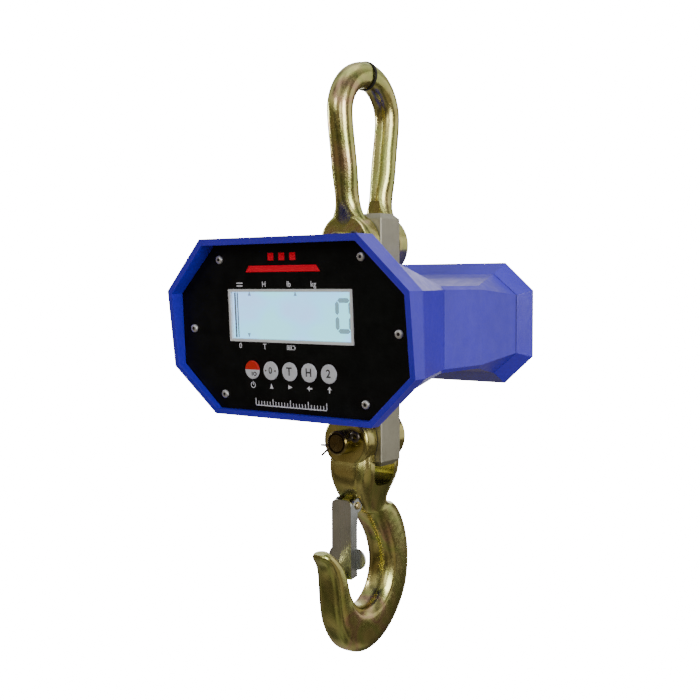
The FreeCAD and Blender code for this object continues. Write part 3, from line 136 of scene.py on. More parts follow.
# ------------------------------------------------------------------ shader graphs
class ShaderGraph:
    """A material's node tree, with one short call for each node that the finishes use."""

    def __init__(self, name: str) -> None:
        """Starts a material with one Principled shader.

        Args:
            name: The material's name.
        """
        self.material = bpy.data.materials.new(name)
        self.material.use_nodes = True
        self.nodes = self.material.node_tree.nodes
        self.links = self.material.node_tree.links
        self.shader = self.nodes["Principled BSDF"]
        self.coords = self.nodes.new("ShaderNodeTexCoord")
        self.relief: Socket | None = None

    def fix(self, **values: float | Colour) -> None:
        """Sets constants on the shader's own sockets.

        Args:
            values: Socket names with underscores for spaces, and their values.
        """
        for key, value in values.items():
            socket = self.shader.inputs[key.replace("_", " ")]
            socket.default_value = (*value, 1.0) if isinstance(value, tuple) else value

    def feed(self, socket: str, source: Socket) -> None:
        """Links an output to one of the shader's sockets."""
        self.links.new(source, self.shader.inputs[socket])

    def plug(self, target: Socket, value: "float | Colour | Socket") -> None:
        """Gives a node's input a constant or a link.

        Args:
            target: The input to set.
            value: A number, a colour or another node's output.
        """
        if isinstance(value, bpy.types.NodeSocket):
            self.links.new(value, target)
        elif isinstance(value, tuple) and len(target.default_value) == 4:
            target.default_value = (*value, 1.0)
        else:
            target.default_value = value

    def position(self, stretch: Triple = (1.0, 1.0, 1.0)) -> Socket:
        """The place on the piece in metres, scaled along each axis.

        Args:
            stretch: How much finer the pattern is along X, Y and Z.

        Returns:
            A vector output.
        """
        mapping = self.nodes.new("ShaderNodeMapping")
        mapping.inputs["Scale"].default_value = stretch
        self.links.new(self.coords.outputs["Object"], mapping.inputs["Vector"])
        return mapping.outputs["Vector"]

    def noise(self, per_metre: float, detail: float = 2.0, roughness: float = 0.5,
              stretch: Triple = (1.0, 1.0, 1.0), twist: float = 0.0) -> Socket:
        """Soft random variation.

        Args:
            per_metre: Blobs in a metre.
            detail: Octaves.
            roughness: Weight of the finer octaves.
            stretch: Anisotropy of the pattern.
            twist: Distortion.

        Returns:
            A value output from 0 to 1.
        """
        node = self.nodes.new("ShaderNodeTexNoise")
        node.inputs["Scale"].default_value = per_metre
        node.inputs["Detail"].default_value = detail
        node.inputs["Roughness"].default_value = roughness
        node.inputs["Distortion"].default_value = twist
        self.links.new(self.position(stretch), node.inputs["Vector"])
        return node.outputs["Fac"]

    def cells(self, per_metre: float, stretch: Triple = (1.0, 1.0, 1.0)) -> Socket:
        """Distance to the nearest of many scattered points.

        Args:
            per_metre: Cells in a metre.
            stretch: Anisotropy of the pattern.

        Returns:
            A value output.
        """
        node = self.nodes.new("ShaderNodeTexVoronoi")
        node.inputs["Scale"].default_value = per_metre
        self.links.new(self.position(stretch), node.inputs["Vector"])
        return node.outputs["Distance"]

    def ramp(self, value: Socket, stops: list[tuple[float, Colour]]) -> Socket:
        """Turns a value into a colour.

        Args:
            value: What is looked up.
            stops: Places from 0 to 1 and their colours.

        Returns:
            A colour output.
        """
        node = self.nodes.new("ShaderNodeValToRGB")
        fill_ramp(node, stops)
        self.links.new(value, node.inputs["Fac"])
        return node.outputs["Color"]

    def blend(self, share: "float | Socket", first: "Colour | Socket",
              second: "Colour | Socket") -> Socket:
        """Mixes two colours.

        Args:
            share: How much of the second.
            first: The colour at 0.
            second: The colour at 1.

        Returns:
            A colour output.
        """
        node = self.nodes.new("ShaderNodeMix")
        node.data_type = "RGBA"
        self.plug(node.inputs[MIX_SHARE], share)
        self.plug(node.inputs[MIX_FIRST], first)
        self.plug(node.inputs[MIX_SECOND], second)
        return node.outputs[MIX_RESULT]

    def span(self, value: Socket, low: float, high: float, to_low: float, to_high: float) -> Socket:
        """Stretches one range of a value onto another, clamped.

        Args:
            value: The value.
            low: Start of its range.
            high: End of its range.
            to_low: Result at the start.
            to_high: Result at the end.

        Returns:
            A value output.
        """
        node = self.nodes.new("ShaderNodeMapRange")
        self.links.new(value, node.inputs["Value"])
        for name, number in (("From Min", low), ("From Max", high), ("To Min", to_low),
                             ("To Max", to_high)):
            node.inputs[name].default_value = number
        return node.outputs["Result"]

    def calc(self, operation: str, first: "float | Socket", second: "float | Socket" = 0.0) -> Socket:
        """One step of arithmetic.

        Args:
            operation: The Math node's operation.
            first: First value.
            second: Second value.

        Returns:
            A value output.
        """
        node = self.nodes.new("ShaderNodeMath")
        node.operation = operation
        self.plug(node.inputs[0], first)
        self.plug(node.inputs[1], second)
        return node.outputs[0]

    def axis(self, vector: Socket, letter: str) -> Socket:
        """One component of a vector output."""
        node = self.nodes.new("ShaderNodeSeparateXYZ")
        self.links.new(vector, node.inputs[0])
        return node.outputs[letter]

    def emboss(self, height: Socket, depth: float, strength: float = 1.0) -> None:
        """Adds a layer of relief to the surface.

        Args:
            height: The relief from 0 to 1.
            depth: Its height in metres.
            strength: Share of it that shows.
        """
        node = self.nodes.new("ShaderNodeBump")
        node.inputs["Distance"].default_value = depth
        node.inputs["Strength"].default_value = strength
        self.links.new(height, node.inputs["Height"])
        if self.relief:
            self.links.new(self.relief, node.inputs["Normal"])
        self.relief = node.outputs["Normal"]
        self.feed("Normal", self.relief)


# ------------------------------------------------------------------ finishes
@dataclass(frozen=True)
class Finish:
    """A named surface finish; each kind paints its own shader graph."""

    name: str

    def paint(self, graph: ShaderGraph) -> None:
        """Builds the shader's inputs."""
        raise NotImplementedError

    def material(self) -> bpy.types.Material:
        """The material, made once.

        Returns:
            The material of this finish.
        """
        found = bpy.data.materials.get(self.name)
        if found is None:
            graph = ShaderGraph(self.name)
            self.paint(graph)
            found = graph.material
        return found


@dataclass(frozen=True)
class YellowZinc(Finish):
    """Yellow chromated zinc on a forging: gold that drifts to rose and green, over forged grain.

    Bands, clouds, stains, grain and dents are counted in a metre.
    """

    straw: Colour = (0.56, 0.50, 0.19)
    olive: Colour = (0.34, 0.29, 0.085)
    rose: Colour = (0.56, 0.36, 0.22)
    green: Colour = (0.42, 0.46, 0.14)
    gloss: Point = (0.17, 0.30)
    bands: float = 16.0
    clouds: float = 60.0
    stains: float = 240.0
    grain: float = 0.5
    grain_count: float = 900.0
    grain_depth: float = 0.35 * MM
    dents: float = 120.0
    dent_depth: float = 1.0 * MM
    smooth_sides: bool = False

    def paint(self, graph: ShaderGraph) -> None:
        """Drifting interference colours, uneven gloss and grain that fades on machined sides."""
        drift = graph.noise(self.bands, 2.0, 0.55, (1.0, 1.0, 0.7), 0.8)
        tint = graph.ramp(drift, [(0.28, self.olive), (0.42, self.straw), (0.50, self.green),
                                  (0.57, self.straw), (0.62, self.rose), (0.67, self.straw),
                                  (0.80, self.olive)])
        cloud = graph.noise(self.clouds, 3.0, 0.6)
        tint = graph.blend(graph.span(cloud, 0.45, 0.75, 0.0, 0.45), tint, self.straw)
        stain = graph.noise(self.stains, 3.0, 0.65)
        tint = graph.blend(graph.span(stain, 0.56, 0.75, 0.0, 0.35), tint, self.olive)
        graph.feed("Base Color", tint)
        graph.fix(Metallic=1.0)
        graph.feed("Roughness", graph.span(graph.noise(420.0, 3.0, 0.7), 0.3, 0.7, *self.gloss))
        fine = graph.noise(self.grain_count, 3.0, 0.65)
        if self.smooth_sides:
            side = graph.calc("ABSOLUTE", graph.axis(graph.coords.outputs["Normal"], "X"))
            fine = graph.calc("MULTIPLY", fine, graph.span(side, 0.35, 0.9, 1.0, 0.12))
        graph.emboss(fine, self.grain_depth, self.grain)
        graph.emboss(graph.noise(self.dents, 2.0), self.dent_depth, 0.18)


@dataclass(frozen=True)
class PinZinc(YellowZinc):
    """The same plating on a turned pin, with lathe rings, a painted shadow in the groove on its end and
    painted shade on its end faces.
    """

    height: float = 0.0
    groove: float = 8.4 * MM
    lathe: float = 9000.0
    ring_depth: float = 0.06 * MM
    # Painted shade: dark brown for the pin's end faces
    end_face_shade: Colour = (0.10, 0.05, 0.025)
    # Painted shadow: the near-black laid along the groove on the pin's end
    groove_shadow: Colour = (0.012, 0.010, 0.008)

    def paint(self, graph: ShaderGraph) -> None:
        """Adds rings round the pin's axis to the plating, painted shade on the end faces and a painted
        shadow in the groove.
        """
        super().paint(graph)
        place = graph.coords.outputs["Object"]
        x = graph.axis(place, "X")
        z = graph.calc("SUBTRACT", graph.axis(place, "Z"), self.height)
        squares = graph.calc("ADD", graph.calc("MULTIPLY", x, x), graph.calc("MULTIPLY", z, z))
        radius = graph.calc("SQRT", squares)
        rings = graph.calc("SINE", graph.calc("MULTIPLY", radius, self.lathe))
        graph.emboss(rings, self.ring_depth, 0.5)
        # Painted shadow: a near-black ring along the groove on the end faces, where shade falls
        off = graph.calc("ABSOLUTE", graph.calc("SUBTRACT", radius, self.groove))
        facing = graph.calc("ABSOLUTE", graph.axis(graph.coords.outputs["Normal"], "Y"))
        dark = graph.calc("MULTIPLY", graph.span(off, 0.4 * MM, 1.1 * MM, 1.0, 0.0), facing)
        base = graph.shader.inputs["Base Color"].links[0].from_socket
        # Painted shade: faces that look along Y, the pin's ends, are blended towards dark brown
        end_face_shade = graph.blend(graph.calc("MULTIPLY", facing, 0.75), base, self.end_face_shade)
        graph.feed("Base Color", graph.blend(dark, end_face_shade, self.groove_shadow))


@dataclass(frozen=True)
class Plated(Finish):
    """Plated or polished metal with fine lines along one direction."""

    colour: Colour
    second: Colour
    gloss: Point = (0.20, 0.32)
    lines: Triple = (900.0, 900.0, 900.0)
    depth: float = 0.08 * MM
    clouds: float = 45.0

    def paint(self, graph: ShaderGraph) -> None:
        """Two tones in clouds, streaked gloss and drawn lines."""
        cloud = graph.span(graph.noise(self.clouds, 3.0, 0.6), 0.35, 0.65, 0.0, 1.0)
        graph.feed("Base Color", graph.blend(cloud, self.colour, self.second))
        graph.fix(Metallic=1.0)
        streak = graph.noise(1.0, 3.0, 0.65, self.lines)
        graph.feed("Roughness", graph.span(streak, 0.3, 0.7, *self.gloss))
        graph.emboss(streak, self.depth, 0.6)


@dataclass(frozen=True)
class PowderCoat(Finish):
    """Half-gloss powder coat on a casting with a fine orange peel."""

    colour: Colour
    deep: Colour
    gloss: Point = (0.30, 0.42)
    drift: float = 22.0
    marks: float = 90.0
    peel: float = 520.0
    peel_depth: float = 0.22 * MM
    sags: float = 60.0
    sag_depth: float = 0.6 * MM

    def paint(self, graph: ShaderGraph) -> None:
        """Slight colour drift, orange peel and faint handling marks in the gloss."""
        drift = graph.span(graph.noise(self.drift, 3.0, 0.6), 0.35, 0.65, 0.0, 1.0)
        graph.feed("Base Color", graph.blend(drift, self.colour, self.deep))
        graph.fix(Specular_IOR_Level=0.5, Coat_Weight=0.25, Coat_Roughness=0.22)
        graph.feed("Roughness", graph.span(graph.noise(self.marks, 4.0, 0.7), 0.35, 0.65, *self.gloss))
        graph.emboss(graph.noise(self.peel, 2.0, 0.45), self.peel_depth, 0.35)
        graph.emboss(graph.noise(self.sags, 2.0, 0.4), self.sag_depth, 0.10)


@dataclass(frozen=True)
class Moulded(Finish):
    """Plastic, rubber, film or ink: one colour that varies a little, with a moulded texture."""

    colour: Colour
    gloss: float = 0.45
    grain: float = 900.0
    depth: float = 0.08 * MM
    vary: float = 0.12
    shine: float = 0.4
    clouds: float = 70.0
    patches: float = 160.0

    def paint(self, graph: ShaderGraph) -> None:
        """Mottled colour, uneven gloss and grain."""
        lighter = tuple(min(1.0, c * (1 + self.vary) + 0.002) for c in self.colour)
        darker = tuple(c * (1 - self.vary) for c in self.colour)
        cloud = graph.span(graph.noise(self.clouds, 3.0, 0.6), 0.35, 0.65, 0.0, 1.0)
        graph.feed("Base Color", graph.blend(cloud, darker, lighter))
        patch = graph.noise(self.patches, 3.0, 0.65)
        graph.feed("Roughness", graph.span(patch, 0.3, 0.7, self.gloss * 0.85, self.gloss * 1.15))
        graph.fix(Specular_IOR_Level=self.shine)
        graph.emboss(graph.noise(self.grain, 2.0, 0.5), self.depth, 0.5)


@dataclass(frozen=True)
class TwoToneKey(Moulded):
    """A key cap with a coloured upper half."""

    upper: Colour = (0.62, 0.02, 0.015)
    split: float = 0.0

    def paint(self, graph: ShaderGraph) -> None:
        """Switches colour across the key's middle height."""
        super().paint(graph)
        base = graph.shader.inputs["Base Color"].links[0].from_socket
        height = graph.axis(graph.coords.outputs["Object"], "Z")
        above = graph.span(height, self.split - 0.05 * MM, self.split + 0.05 * MM, 0.0, 1.0)
        graph.feed("Base Color", graph.blend(above, base, self.upper))


@dataclass(frozen=True)
class LitCell(Finish):
    """Backlit liquid crystal glass: pale, with faint rose and green clouds."""

    pale: Colour = (0.19, 0.58, 0.88)
    rose: Colour = (0.25, 0.50, 0.84)
    green: Colour = (0.19, 0.64, 0.76)
    glow: float = 2.9
    unlit: Colour = (0.02, 0.03, 0.03)

    def paint(self, graph: ShaderGraph) -> None:
        """Clouded colour that also glows."""
        cloud = graph.noise(22.0, 1.5, 0.5, (1.0, 1.0, 1.6))
        tint = graph.ramp(cloud, [(0.36, self.green), (0.48, self.pale), (0.60, self.rose)])
        graph.feed("Base Color", graph.blend(0.85, tint, self.unlit))
        graph.feed("Emission Color", tint)
        graph.fix(Emission_Strength=self.glow, Roughness=0.25)


@dataclass(frozen=True)
class ClearPane(Finish):
    """Clear window with faint dust in its gloss."""

    body: float = 0.12

    def paint(self, graph: ShaderGraph) -> None:
        """Mostly see-through, with a polished surface."""
        dust = graph.noise(300.0, 3.0, 0.7)
        graph.feed("Roughness", graph.span(dust, 0.4, 0.8, 0.03, 0.12))
        graph.feed("Base Color", graph.blend(dust, (0.82, 0.90, 0.92), (0.90, 0.95, 0.95)))
        graph.fix(Alpha=self.body)


@dataclass(frozen=True)
class BoardMask(Finish):
    """Green solder mask with the shadow of copper tracks below it."""

    mask: Colour = (0.012, 0.11, 0.04)
    track: Colour = (0.03, 0.20, 0.07)
    blocks: float = 260.0
    tracks: float = 3200.0

    def paint(self, graph: ShaderGraph) -> None:
        """Blocks of parallel tracks under a glossy mask."""
        blocks = graph.cells(self.blocks, (1.0, 1.0, 0.5))
        lines = graph.calc("SINE", graph.calc("MULTIPLY", graph.axis(graph.position(), "X"), self.tracks))
        share = graph.calc("MULTIPLY", graph.span(lines, 0.0, 0.3, 0.0, 1.0),
                           graph.span(blocks, 0.3, 0.6, 0.0, 1.0))
        graph.feed("Base Color", graph.blend(share, self.mask, self.track))
        graph.fix(Roughness=0.32)
        graph.emboss(share, 0.00005, 0.6)


@dataclass(frozen=True)
class Webbing(Finish):
    """Woven strap."""

    colour: Colour = (0.02, 0.02, 0.022)
    warp: float = 5200.0
    weft: float = 4200.0

    def paint(self, graph: ShaderGraph) -> None:
        """Two crossed rows of threads."""
        warp = graph.calc("SINE", graph.calc("MULTIPLY", graph.axis(graph.position(), "Y"), self.warp))
        weft = graph.calc("SINE", graph.calc("MULTIPLY", graph.axis(graph.position(), "X"), self.weft))
        weave = graph.calc("MULTIPLY", warp, weft)
        light = tuple(c * 2.2 for c in self.colour)
        graph.feed("Base Color", graph.blend(graph.span(weave, -1.0, 1.0, 0.0, 1.0), self.colour, light))
        graph.fix(Roughness=0.85, Sheen_Weight=0.3)
        graph.emboss(weave, 0.0003, 0.8)


ZINC = YellowZinc("zinc yellow forged", grain=0.22)
ZINC_HOOK = YellowZinc("zinc yellow hook", grain=0.24, smooth_sides=True)
BAR = Plated("milled bar", (0.455, 0.44, 0.345), (0.395, 0.38, 0.295), (0.42, 0.56),
             (1600.0, 1600.0, 16.0), 0.00005)
STAINLESS = Plated("stainless", (0.40, 0.38, 0.32), (0.26, 0.245, 0.20), (0.16, 0.28))
BRIGHT = Plated("bright zinc sheet", (0.62, 0.65, 0.64), (0.48, 0.51, 0.50), (0.18, 0.32),
                (1400.0, 1400.0, 30.0), 0.00002)
DARK_WIRE = Plated("oiled wire", (0.10, 0.09, 0.08), (0.16, 0.13, 0.11), (0.30, 0.45))
BRASS = Plated("rivet brass", (0.70, 0.58, 0.30), (0.58, 0.46, 0.22), (0.20, 0.34))
FRAME_GREY = Moulded("satin frame", (0.78, 0.80, 0.83), 0.36, 1500.0, 0.00003, 0.05, 0.5)
BLUE = PowderCoat("blue coat", (0.034, 0.014, 0.56), (0.028, 0.012, 0.49))
FILM = Moulded("panel film", (0.0022, 0.0022, 0.0024), 0.42, 1400.0, 0.00002, 0.25, 0.12)
INK = Moulded("pale ink", (0.74, 0.75, 0.82), 0.5, 2500.0, 0.00001, 0.06, 0.2)
RED_INK = Moulded("red ink", (0.95, 0.003, 0.030), 0.5, 2500.0, 0.00001, 0.04, 0.1)
DARK_INK = Moulded("key ink", (0.02, 0.022, 0.03), 0.5, 2500.0, 0.00001, 0.1)
LCD_INK = LitCell("lit segments", (0.11, 0.22, 0.30), (0.13, 0.21, 0.31), (0.10, 0.23, 0.29), 1.9)
LCD_EDGE = Moulded("cell edge", (0.004, 0.035, 0.06), 0.3, 2500.0, 0.00001, 0.2)
LCD = LitCell("lit cell")
PANE = ClearPane("clear window")
DIFFUSER = Moulded("diffuser", (0.80, 0.86, 0.86), 0.4, 800.0, 0.00004, 0.03)
KEY = Moulded("grey key", (0.62, 0.64, 0.70), 0.38, 1200.0, 0.00004, 0.06)
RUBBER = Moulded("rubber", (0.014, 0.014, 0.015), 0.72, 1300.0, 0.00012, 0.3)
BAND = Moulded("black band", (0.012, 0.011, 0.010), 0.55, 1500.0, 0.00008, 0.3)
BLACK = Moulded("black plastic", (0.018, 0.018, 0.02), 0.5, 1100.0, 0.0001, 0.25)
BATTERY = Moulded("battery case", (0.06, 0.065, 0.075), 0.5, 900.0, 0.0001, 0.15)
JACKET = Moulded("cable jacket", (0.03, 0.03, 0.033), 0.42, 700.0, 0.0001, 0.2)
# Painted shade: near-black that stands for the shade inside the screw sockets
SOCKET_SHADE = Moulded("socket painted shade", (0.006, 0.005, 0.004), 0.5, 2500.0, 0.00002, 0.3)
FLOOR = Moulded("studio floor", (0.86, 0.86, 0.86), 0.9, 40.0, 0.0005, 0.01)
MASK = BoardMask("board mask")
STRAP = Webbing("strap webbing")


# ------------------------------------------------------------------ working on pieces
def dress(node: str, finish: Finish) -> bpy.types.Object:
    """Gives a design node its finish.

    Args:
        node: The node's name.
        finish: Its finish.

    Returns:
        The node's object.
    """
    shown = frame["nodes"][node]
    shown.data.materials.clear()
    shown.data.materials.append(finish.material())
    return shown


def new_piece(name: str, mesh: bpy.types.Mesh, finish: Finish, body: str) -> bpy.types.Object:
    """Puts a new mesh into the scene on a body.

    Args:
        name: The piece's name.
        mesh: Its mesh, in the row frame.
        finish: Its finish.
        body: The body that it moves with.

    Returns:
        The new object.
    """
    mesh.materials.clear()
    mesh.materials.append(finish.material())
    piece = bpy.data.objects.new(name, mesh)
    into_scene(piece)
    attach(piece, body)
    return piece


def soften(node: str, finish: Finish, width: float,
           body: str = "scale_body") -> bpy.types.Object:
    """Shows a cast or milled node with its sharp edges broken.

    Args:
        node: The design node that the piece stands for.
        finish: Its finish.
        width: Width of the broken edge in metres.
        body: The body that it moves with.

    Returns:
        The new object.
    """
    work = bmesh.new()
    work.from_mesh(frame["nodes"][node].data)
    bmesh.ops.remove_doubles(work, verts=work.verts, dist=WELD_DISTANCE)
    bmesh.ops.dissolve_limit(work, angle_limit=FLAT_ANGLE, verts=work.verts, edges=work.edges)
    for face in work.faces:
        face.smooth = True
    for edge in work.edges:
        broad = len(edge.link_faces) == 2 and min(face.calc_area() for face in edge.link_faces) > BROAD_FACE
        if broad and edge.calc_face_angle() > CREASE_ANGLE:
            edge.smooth = False
    mesh = bpy.data.meshes.new(node + "_softened")
    work.to_mesh(mesh)
    work.free()
    piece = new_piece(node + "_softened", mesh, finish, body)
    broken = piece.modifiers.new("broken edges", "BEVEL")
    broken.width = width
    broken.segments = EDGE_SEGMENTS
    broken.limit_method = "ANGLE"
    broken.angle_limit = EDGE_ANGLE
    broken.use_clamp_overlap = True
    level = piece.modifiers.new("level faces", "WEIGHTED_NORMAL")
    level.keep_sharp = True
    level.weight = AREA_WEIGHT
    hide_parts(node)
    return piece


# ------------------------------------------------------------------ flat drawing
def block(across: float, up: float, width: float, height: float, turn: float = 0.0) -> Outline:
    """A rectangle about its centre, turned by some degrees."""
    c, s = math.cos(math.radians(turn)), math.sin(math.radians(turn))
    x, y = width / 2, height / 2
    corners = [(-x, -y), (x, -y), (x, y), (-x, y)]
    return [(across + a * c - b * s, up + a * s + b * c) for a, b in corners]


def hoop(across: float, up: float, radius: float, thick: float, start: float = 0.0,
         sweep: float = 360.0) -> list[Outline]:
    """A ring or an arc as short quads.

    Args:
        across: Centre, sideways.
        up: Centre, upwards.
        radius: Radius of the line's middle.
        thick: Width of the line.
        start: First angle in degrees.
        sweep: Angle covered in degrees.

    Returns:
        The quads.
    """
    inner, outer = radius - thick / 2, radius + thick / 2
    turns = [math.radians(start + sweep * k / HOOP_STEPS) for k in range(HOOP_STEPS + 1)]

    def at(r: float, a: float) -> Point:
        """A point on the ring."""
        return (across + r * math.cos(a), up + r * math.sin(a))

    return [[at(inner, a), at(outer, a), at(outer, b), at(inner, b)] for a, b in zip(turns, turns[1:])]


def arrow(across: float, up: float, size: float, turn: float, tailed: bool = False) -> list[Outline]:
    """A triangle that points up before it is turned, with or without a tail.

    Args:
        across: Centre, sideways.
        up: Centre, upwards.
        size: Height of the sign.
        turn: Degrees anticlockwise.
        tailed: Whether it has a tail.

    Returns:
        The outlines.
    """
    c, s = math.cos(math.radians(turn)), math.sin(math.radians(turn))
    half = size / 2
    wide, foot = half * ARROW_SPREAD, 0.0 if tailed else -half
    shapes = [[(-wide, foot), (wide, foot), (0.0, half)]]
    if tailed:
        thin = size * ARROW_TAIL
        shapes.append([(-thin, -half), (thin, -half), (thin, 0.0), (-thin, 0.0)])
    return [[(across + x * c - y * s, up + x * s + y * c) for x, y in shape] for shape in shapes]


def letters(word: str, across: float, up: float, size: float) -> list[Outline]:
    """Plain letters or digits as flat faces, centred.

    Args:
        word: What is written.
        across: Centre, sideways.
        up: Centre, upwards.
        size: Height of the type.

    Returns:
        The faces' outlines.
    """
    curve = bpy.data.curves.new("type", "FONT")
    curve.body = word
    curve.size = size
    curve.align_x = "CENTER"
    curve.align_y = "CENTER"
    curve.resolution_u = TYPE_STEPS
    curve.offset = size * TYPE_WEIGHT
    holder = bpy.data.objects.new("type", curve)
    mesh = bpy.data.meshes.new_from_object(holder)
    outlines = [[(across + mesh.vertices[i].co.x, up + mesh.vertices[i].co.y) for i in face.vertices]
                for face in mesh.polygons]
    bpy.data.objects.remove(holder)
    bpy.data.curves.remove(curve)
    bpy.data.meshes.remove(mesh)
    return outlines


def seven_segments(across: float, up: float, width: float, height: float, thick: float,
                   lit: str) -> list[Outline]:
    """One digit of a segment display.

    Args:
        across: Centre, sideways.
        up: Centre, upwards.
        width: Width over the segments.
        height: Height over the segments.
        thick: Width of a segment.
        lit: Letters of the lit segments, a to g.

    Returns:
        One outline for each lit segment.
    """
    gap = thick * SEGMENT_GAP
    x, y = width / 2 - thick / 2, height / 2 - thick / 2

    def level(at: float) -> Outline:
        """A lying segment."""
        e = x - gap
        t = thick / 2
        return [(-e, at), (-e + t, at - t), (e - t, at - t), (e, at), (e - t, at + t), (-e + t, at + t)]

    def standing(side: float, low: float, high: float) -> Outline:
        """An upright segment."""
        t = thick / 2
        return [(side, low), (side + t, low + t), (side + t, high - t), (side, high), (side - t, high - t),
                (side - t, low + t)]

    shapes = {"a": level(y), "g": level(0.0), "d": level(-y),
              "b": standing(x, gap, y - gap), "c": standing(x, -y + gap, -gap),
              "f": standing(-x, gap, y - gap), "e": standing(-x, -y + gap, -gap)}
    return [[(across + px, up + py) for px, py in shapes[key]] for key in lit]


class PanelPlane:
    """The leaning plane of the front panel; u runs right, v runs up it, lift comes off it."""

    def __init__(self, press: str, panel: str) -> None:
        """Finds the plane from a key's travel and the panel's solid.

        Args:
            press: The joint whose axis points into the panel.
            panel: The panel's node.
        """
        self.out = -Vector(joint_named(press)["axis"]).normalized()
        self.right = Vector((1.0, 0.0, 0.0))
        self.up = self.right.cross(-self.out)
        low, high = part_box(panel)
        middle = (low + high) / 2
        front = max(v.co.dot(self.out) for v in frame["nodes"][panel].data.vertices)
        self.origin = middle + self.out * (front - middle.dot(self.out))

    def at(self, u: float, v: float, lift: float) -> Vector:
        """A point on the panel.

        Args:
            u: To the right of the panel's middle.
            v: Up from it.
            lift: Out of the panel's face.

        Returns:
            The point in the row frame.
        """
        return self.origin + self.right * u + self.up * v + self.out * lift

    def find(self, node: str) -> Triple:
        """Where a node lies on the panel.

        Args:
            node: The node's name.

        Returns:
            Its centre (u, v), and how far its front stands off the face.
        """
        points = [v.co - self.origin for v in frame["nodes"][node].data.vertices]
        us = [p.dot(self.right) for p in points]
        vs = [p.dot(self.up) for p in points]
        lift = max(p.dot(self.out) for p in points)
        return (min(us) + max(us)) / 2, (min(vs) + max(vs)) / 2, lift

    def heads(self, node: str, reach: float) -> list[Point]:
        """Where the separate screws of a node stand.

        Args:
            node: The node's name.
            reach: More than a head's radius.

        Returns:
            Each head's middle.
        """
        groups: list[list[Point]] = []
        for vertex in frame["nodes"][node].data.vertices:
            spot = vertex.co - self.origin
            place = (spot.dot(self.right), spot.dot(self.up))
            near = next((g for g in groups if math.dist(g[0], place) < 2 * reach), None)
            if near is None:
                groups.append([place])
            else:
                near.append(place)
        spans = [([u for u, _ in g], [v for _, v in g]) for g in groups]
        return [((min(us) + max(us)) / 2, (min(vs) + max(vs)) / 2) for us, vs in spans]

    def draw(self, name: str, outlines: list[Outline], lift: float, finish: Finish, body: str,
             slot: Slot) -> bpy.types.Object:
        """Makes flat print on the panel or on a key.

        Args:
            name: The piece's name.
            outlines: Flat shapes in (u, v).
            lift: Height off the panel's face.
            finish: The ink.
            body: The body that it moves with.
            slot: The record's material slot; not used.

        Returns:
            The print.
        """
        work = bmesh.new()
        for outline in outlines:
            corners = [work.verts.new(self.at(u, v, lift)) for u, v in outline]
            face = work.faces.new(corners)
            face.normal_update()
            if face.normal.dot(self.out) < 0:
                face.normal_flip()
        mesh = bpy.data.meshes.new(name)
        work.to_mesh(mesh)
        work.free()
        return new_piece(name, mesh, finish, body)


# ------------------------------------------------------------------ sub-assemblies
@dataclass
class LoadPath:
    """Everything that carries the load: bar, shackle, hook, pins and latch."""

    bar_edge: float = 0.5 * MM

    def pin_finish(self, name: str, joint: str) -> "PinZinc":
        """The plating of a pin, centred on the joint that it carries."""
        return PinZinc(name, grain=0.15, height=joint_named(joint)["pos_m"][2])

    def dress_bar(self) -> None:
        """The sensing bar and the covers of its gauge pockets."""
        soften("load_cell_bar", BAR, self.bar_edge)
        dress("gauge_cover_front", STAINLESS)
        dress("gauge_cover_rear", STAINLESS)

    def dress_shackle(self) -> None:
        """The bow, its band, its pin and its split pin."""
        dress("bow_shackle", ZINC)
        dress("bow_marker_ring", BAND)
        dress("upper_clevis_pin", self.pin_finish("zinc upper pin", "shackle_swing"))
        dress("upper_split_pin", DARK_WIRE)

    def dress_hook(self) -> None:
        """The hook, its pin, its latch and the latch's rivet and spring."""
        dress("hook", ZINC_HOOK)
        dress("lower_clevis_pin", self.pin_finish("zinc lower pin", "hook_swing"))
        dress("lower_split_pin", DARK_WIRE)
        dress("latch", BRIGHT)
        dress("latch_rivet", BRASS)
        dress("latch_spring", DARK_WIRE)

    def build(self) -> None:
        """Dresses the load path from the top down."""
        self.dress_shackle()
        self.dress_bar()
        self.dress_hook()
        LOG.info("load path dressed")


@dataclass
class Housing:
    """The blue castings and what joins and seals them."""

    casting_edge: float = 1.1 * MM
    rim_edge: float = 0.9 * MM

    def build(self) -> None:
        """Softens and paints the castings, then dresses seals, brackets and screws."""
        soften("front_bezel", BLUE, self.rim_edge)
        soften("front_housing", BLUE, self.casting_edge)
        soften("rear_housing", BLUE, self.casting_edge)
        dress("rear_cover", BLUE)
        for node in ("bar_seal_top", "bar_seal_bottom", "rear_cover_gasket", "panel_gasket", "charger_cap"):
            dress(node, RUBBER)
        for node in ("bezel_screws", "bracket_screws", "housing_screws", "rear_cover_screws",
                     "panel_screws"):
            dress(node, STAINLESS)
        for node in ("bar_bracket_left", "bar_bracket_right"):
            dress(node, BRIGHT)
        dress("charger_socket", BLACK)
        LOG.info("housing dressed")


@dataclass
class Insides:
    """Board, battery and leads behind the panel."""

    def build(self) -> None:
        """Dresses the pieces that the housing hides."""
        dress("main_board", MASK)
        dress("board_standoffs", STAINLESS)
        dress("key_switches", BLACK)
        dress("backlight", DIFFUSER)
        dress("battery_pack", BATTERY)
        dress("battery_tray", BLACK)
        dress("battery_strap", STRAP)
        dress("load_cell_lead", JACKET)
        dress("battery_lead", JACKET)
        LOG.info("insides dressed")


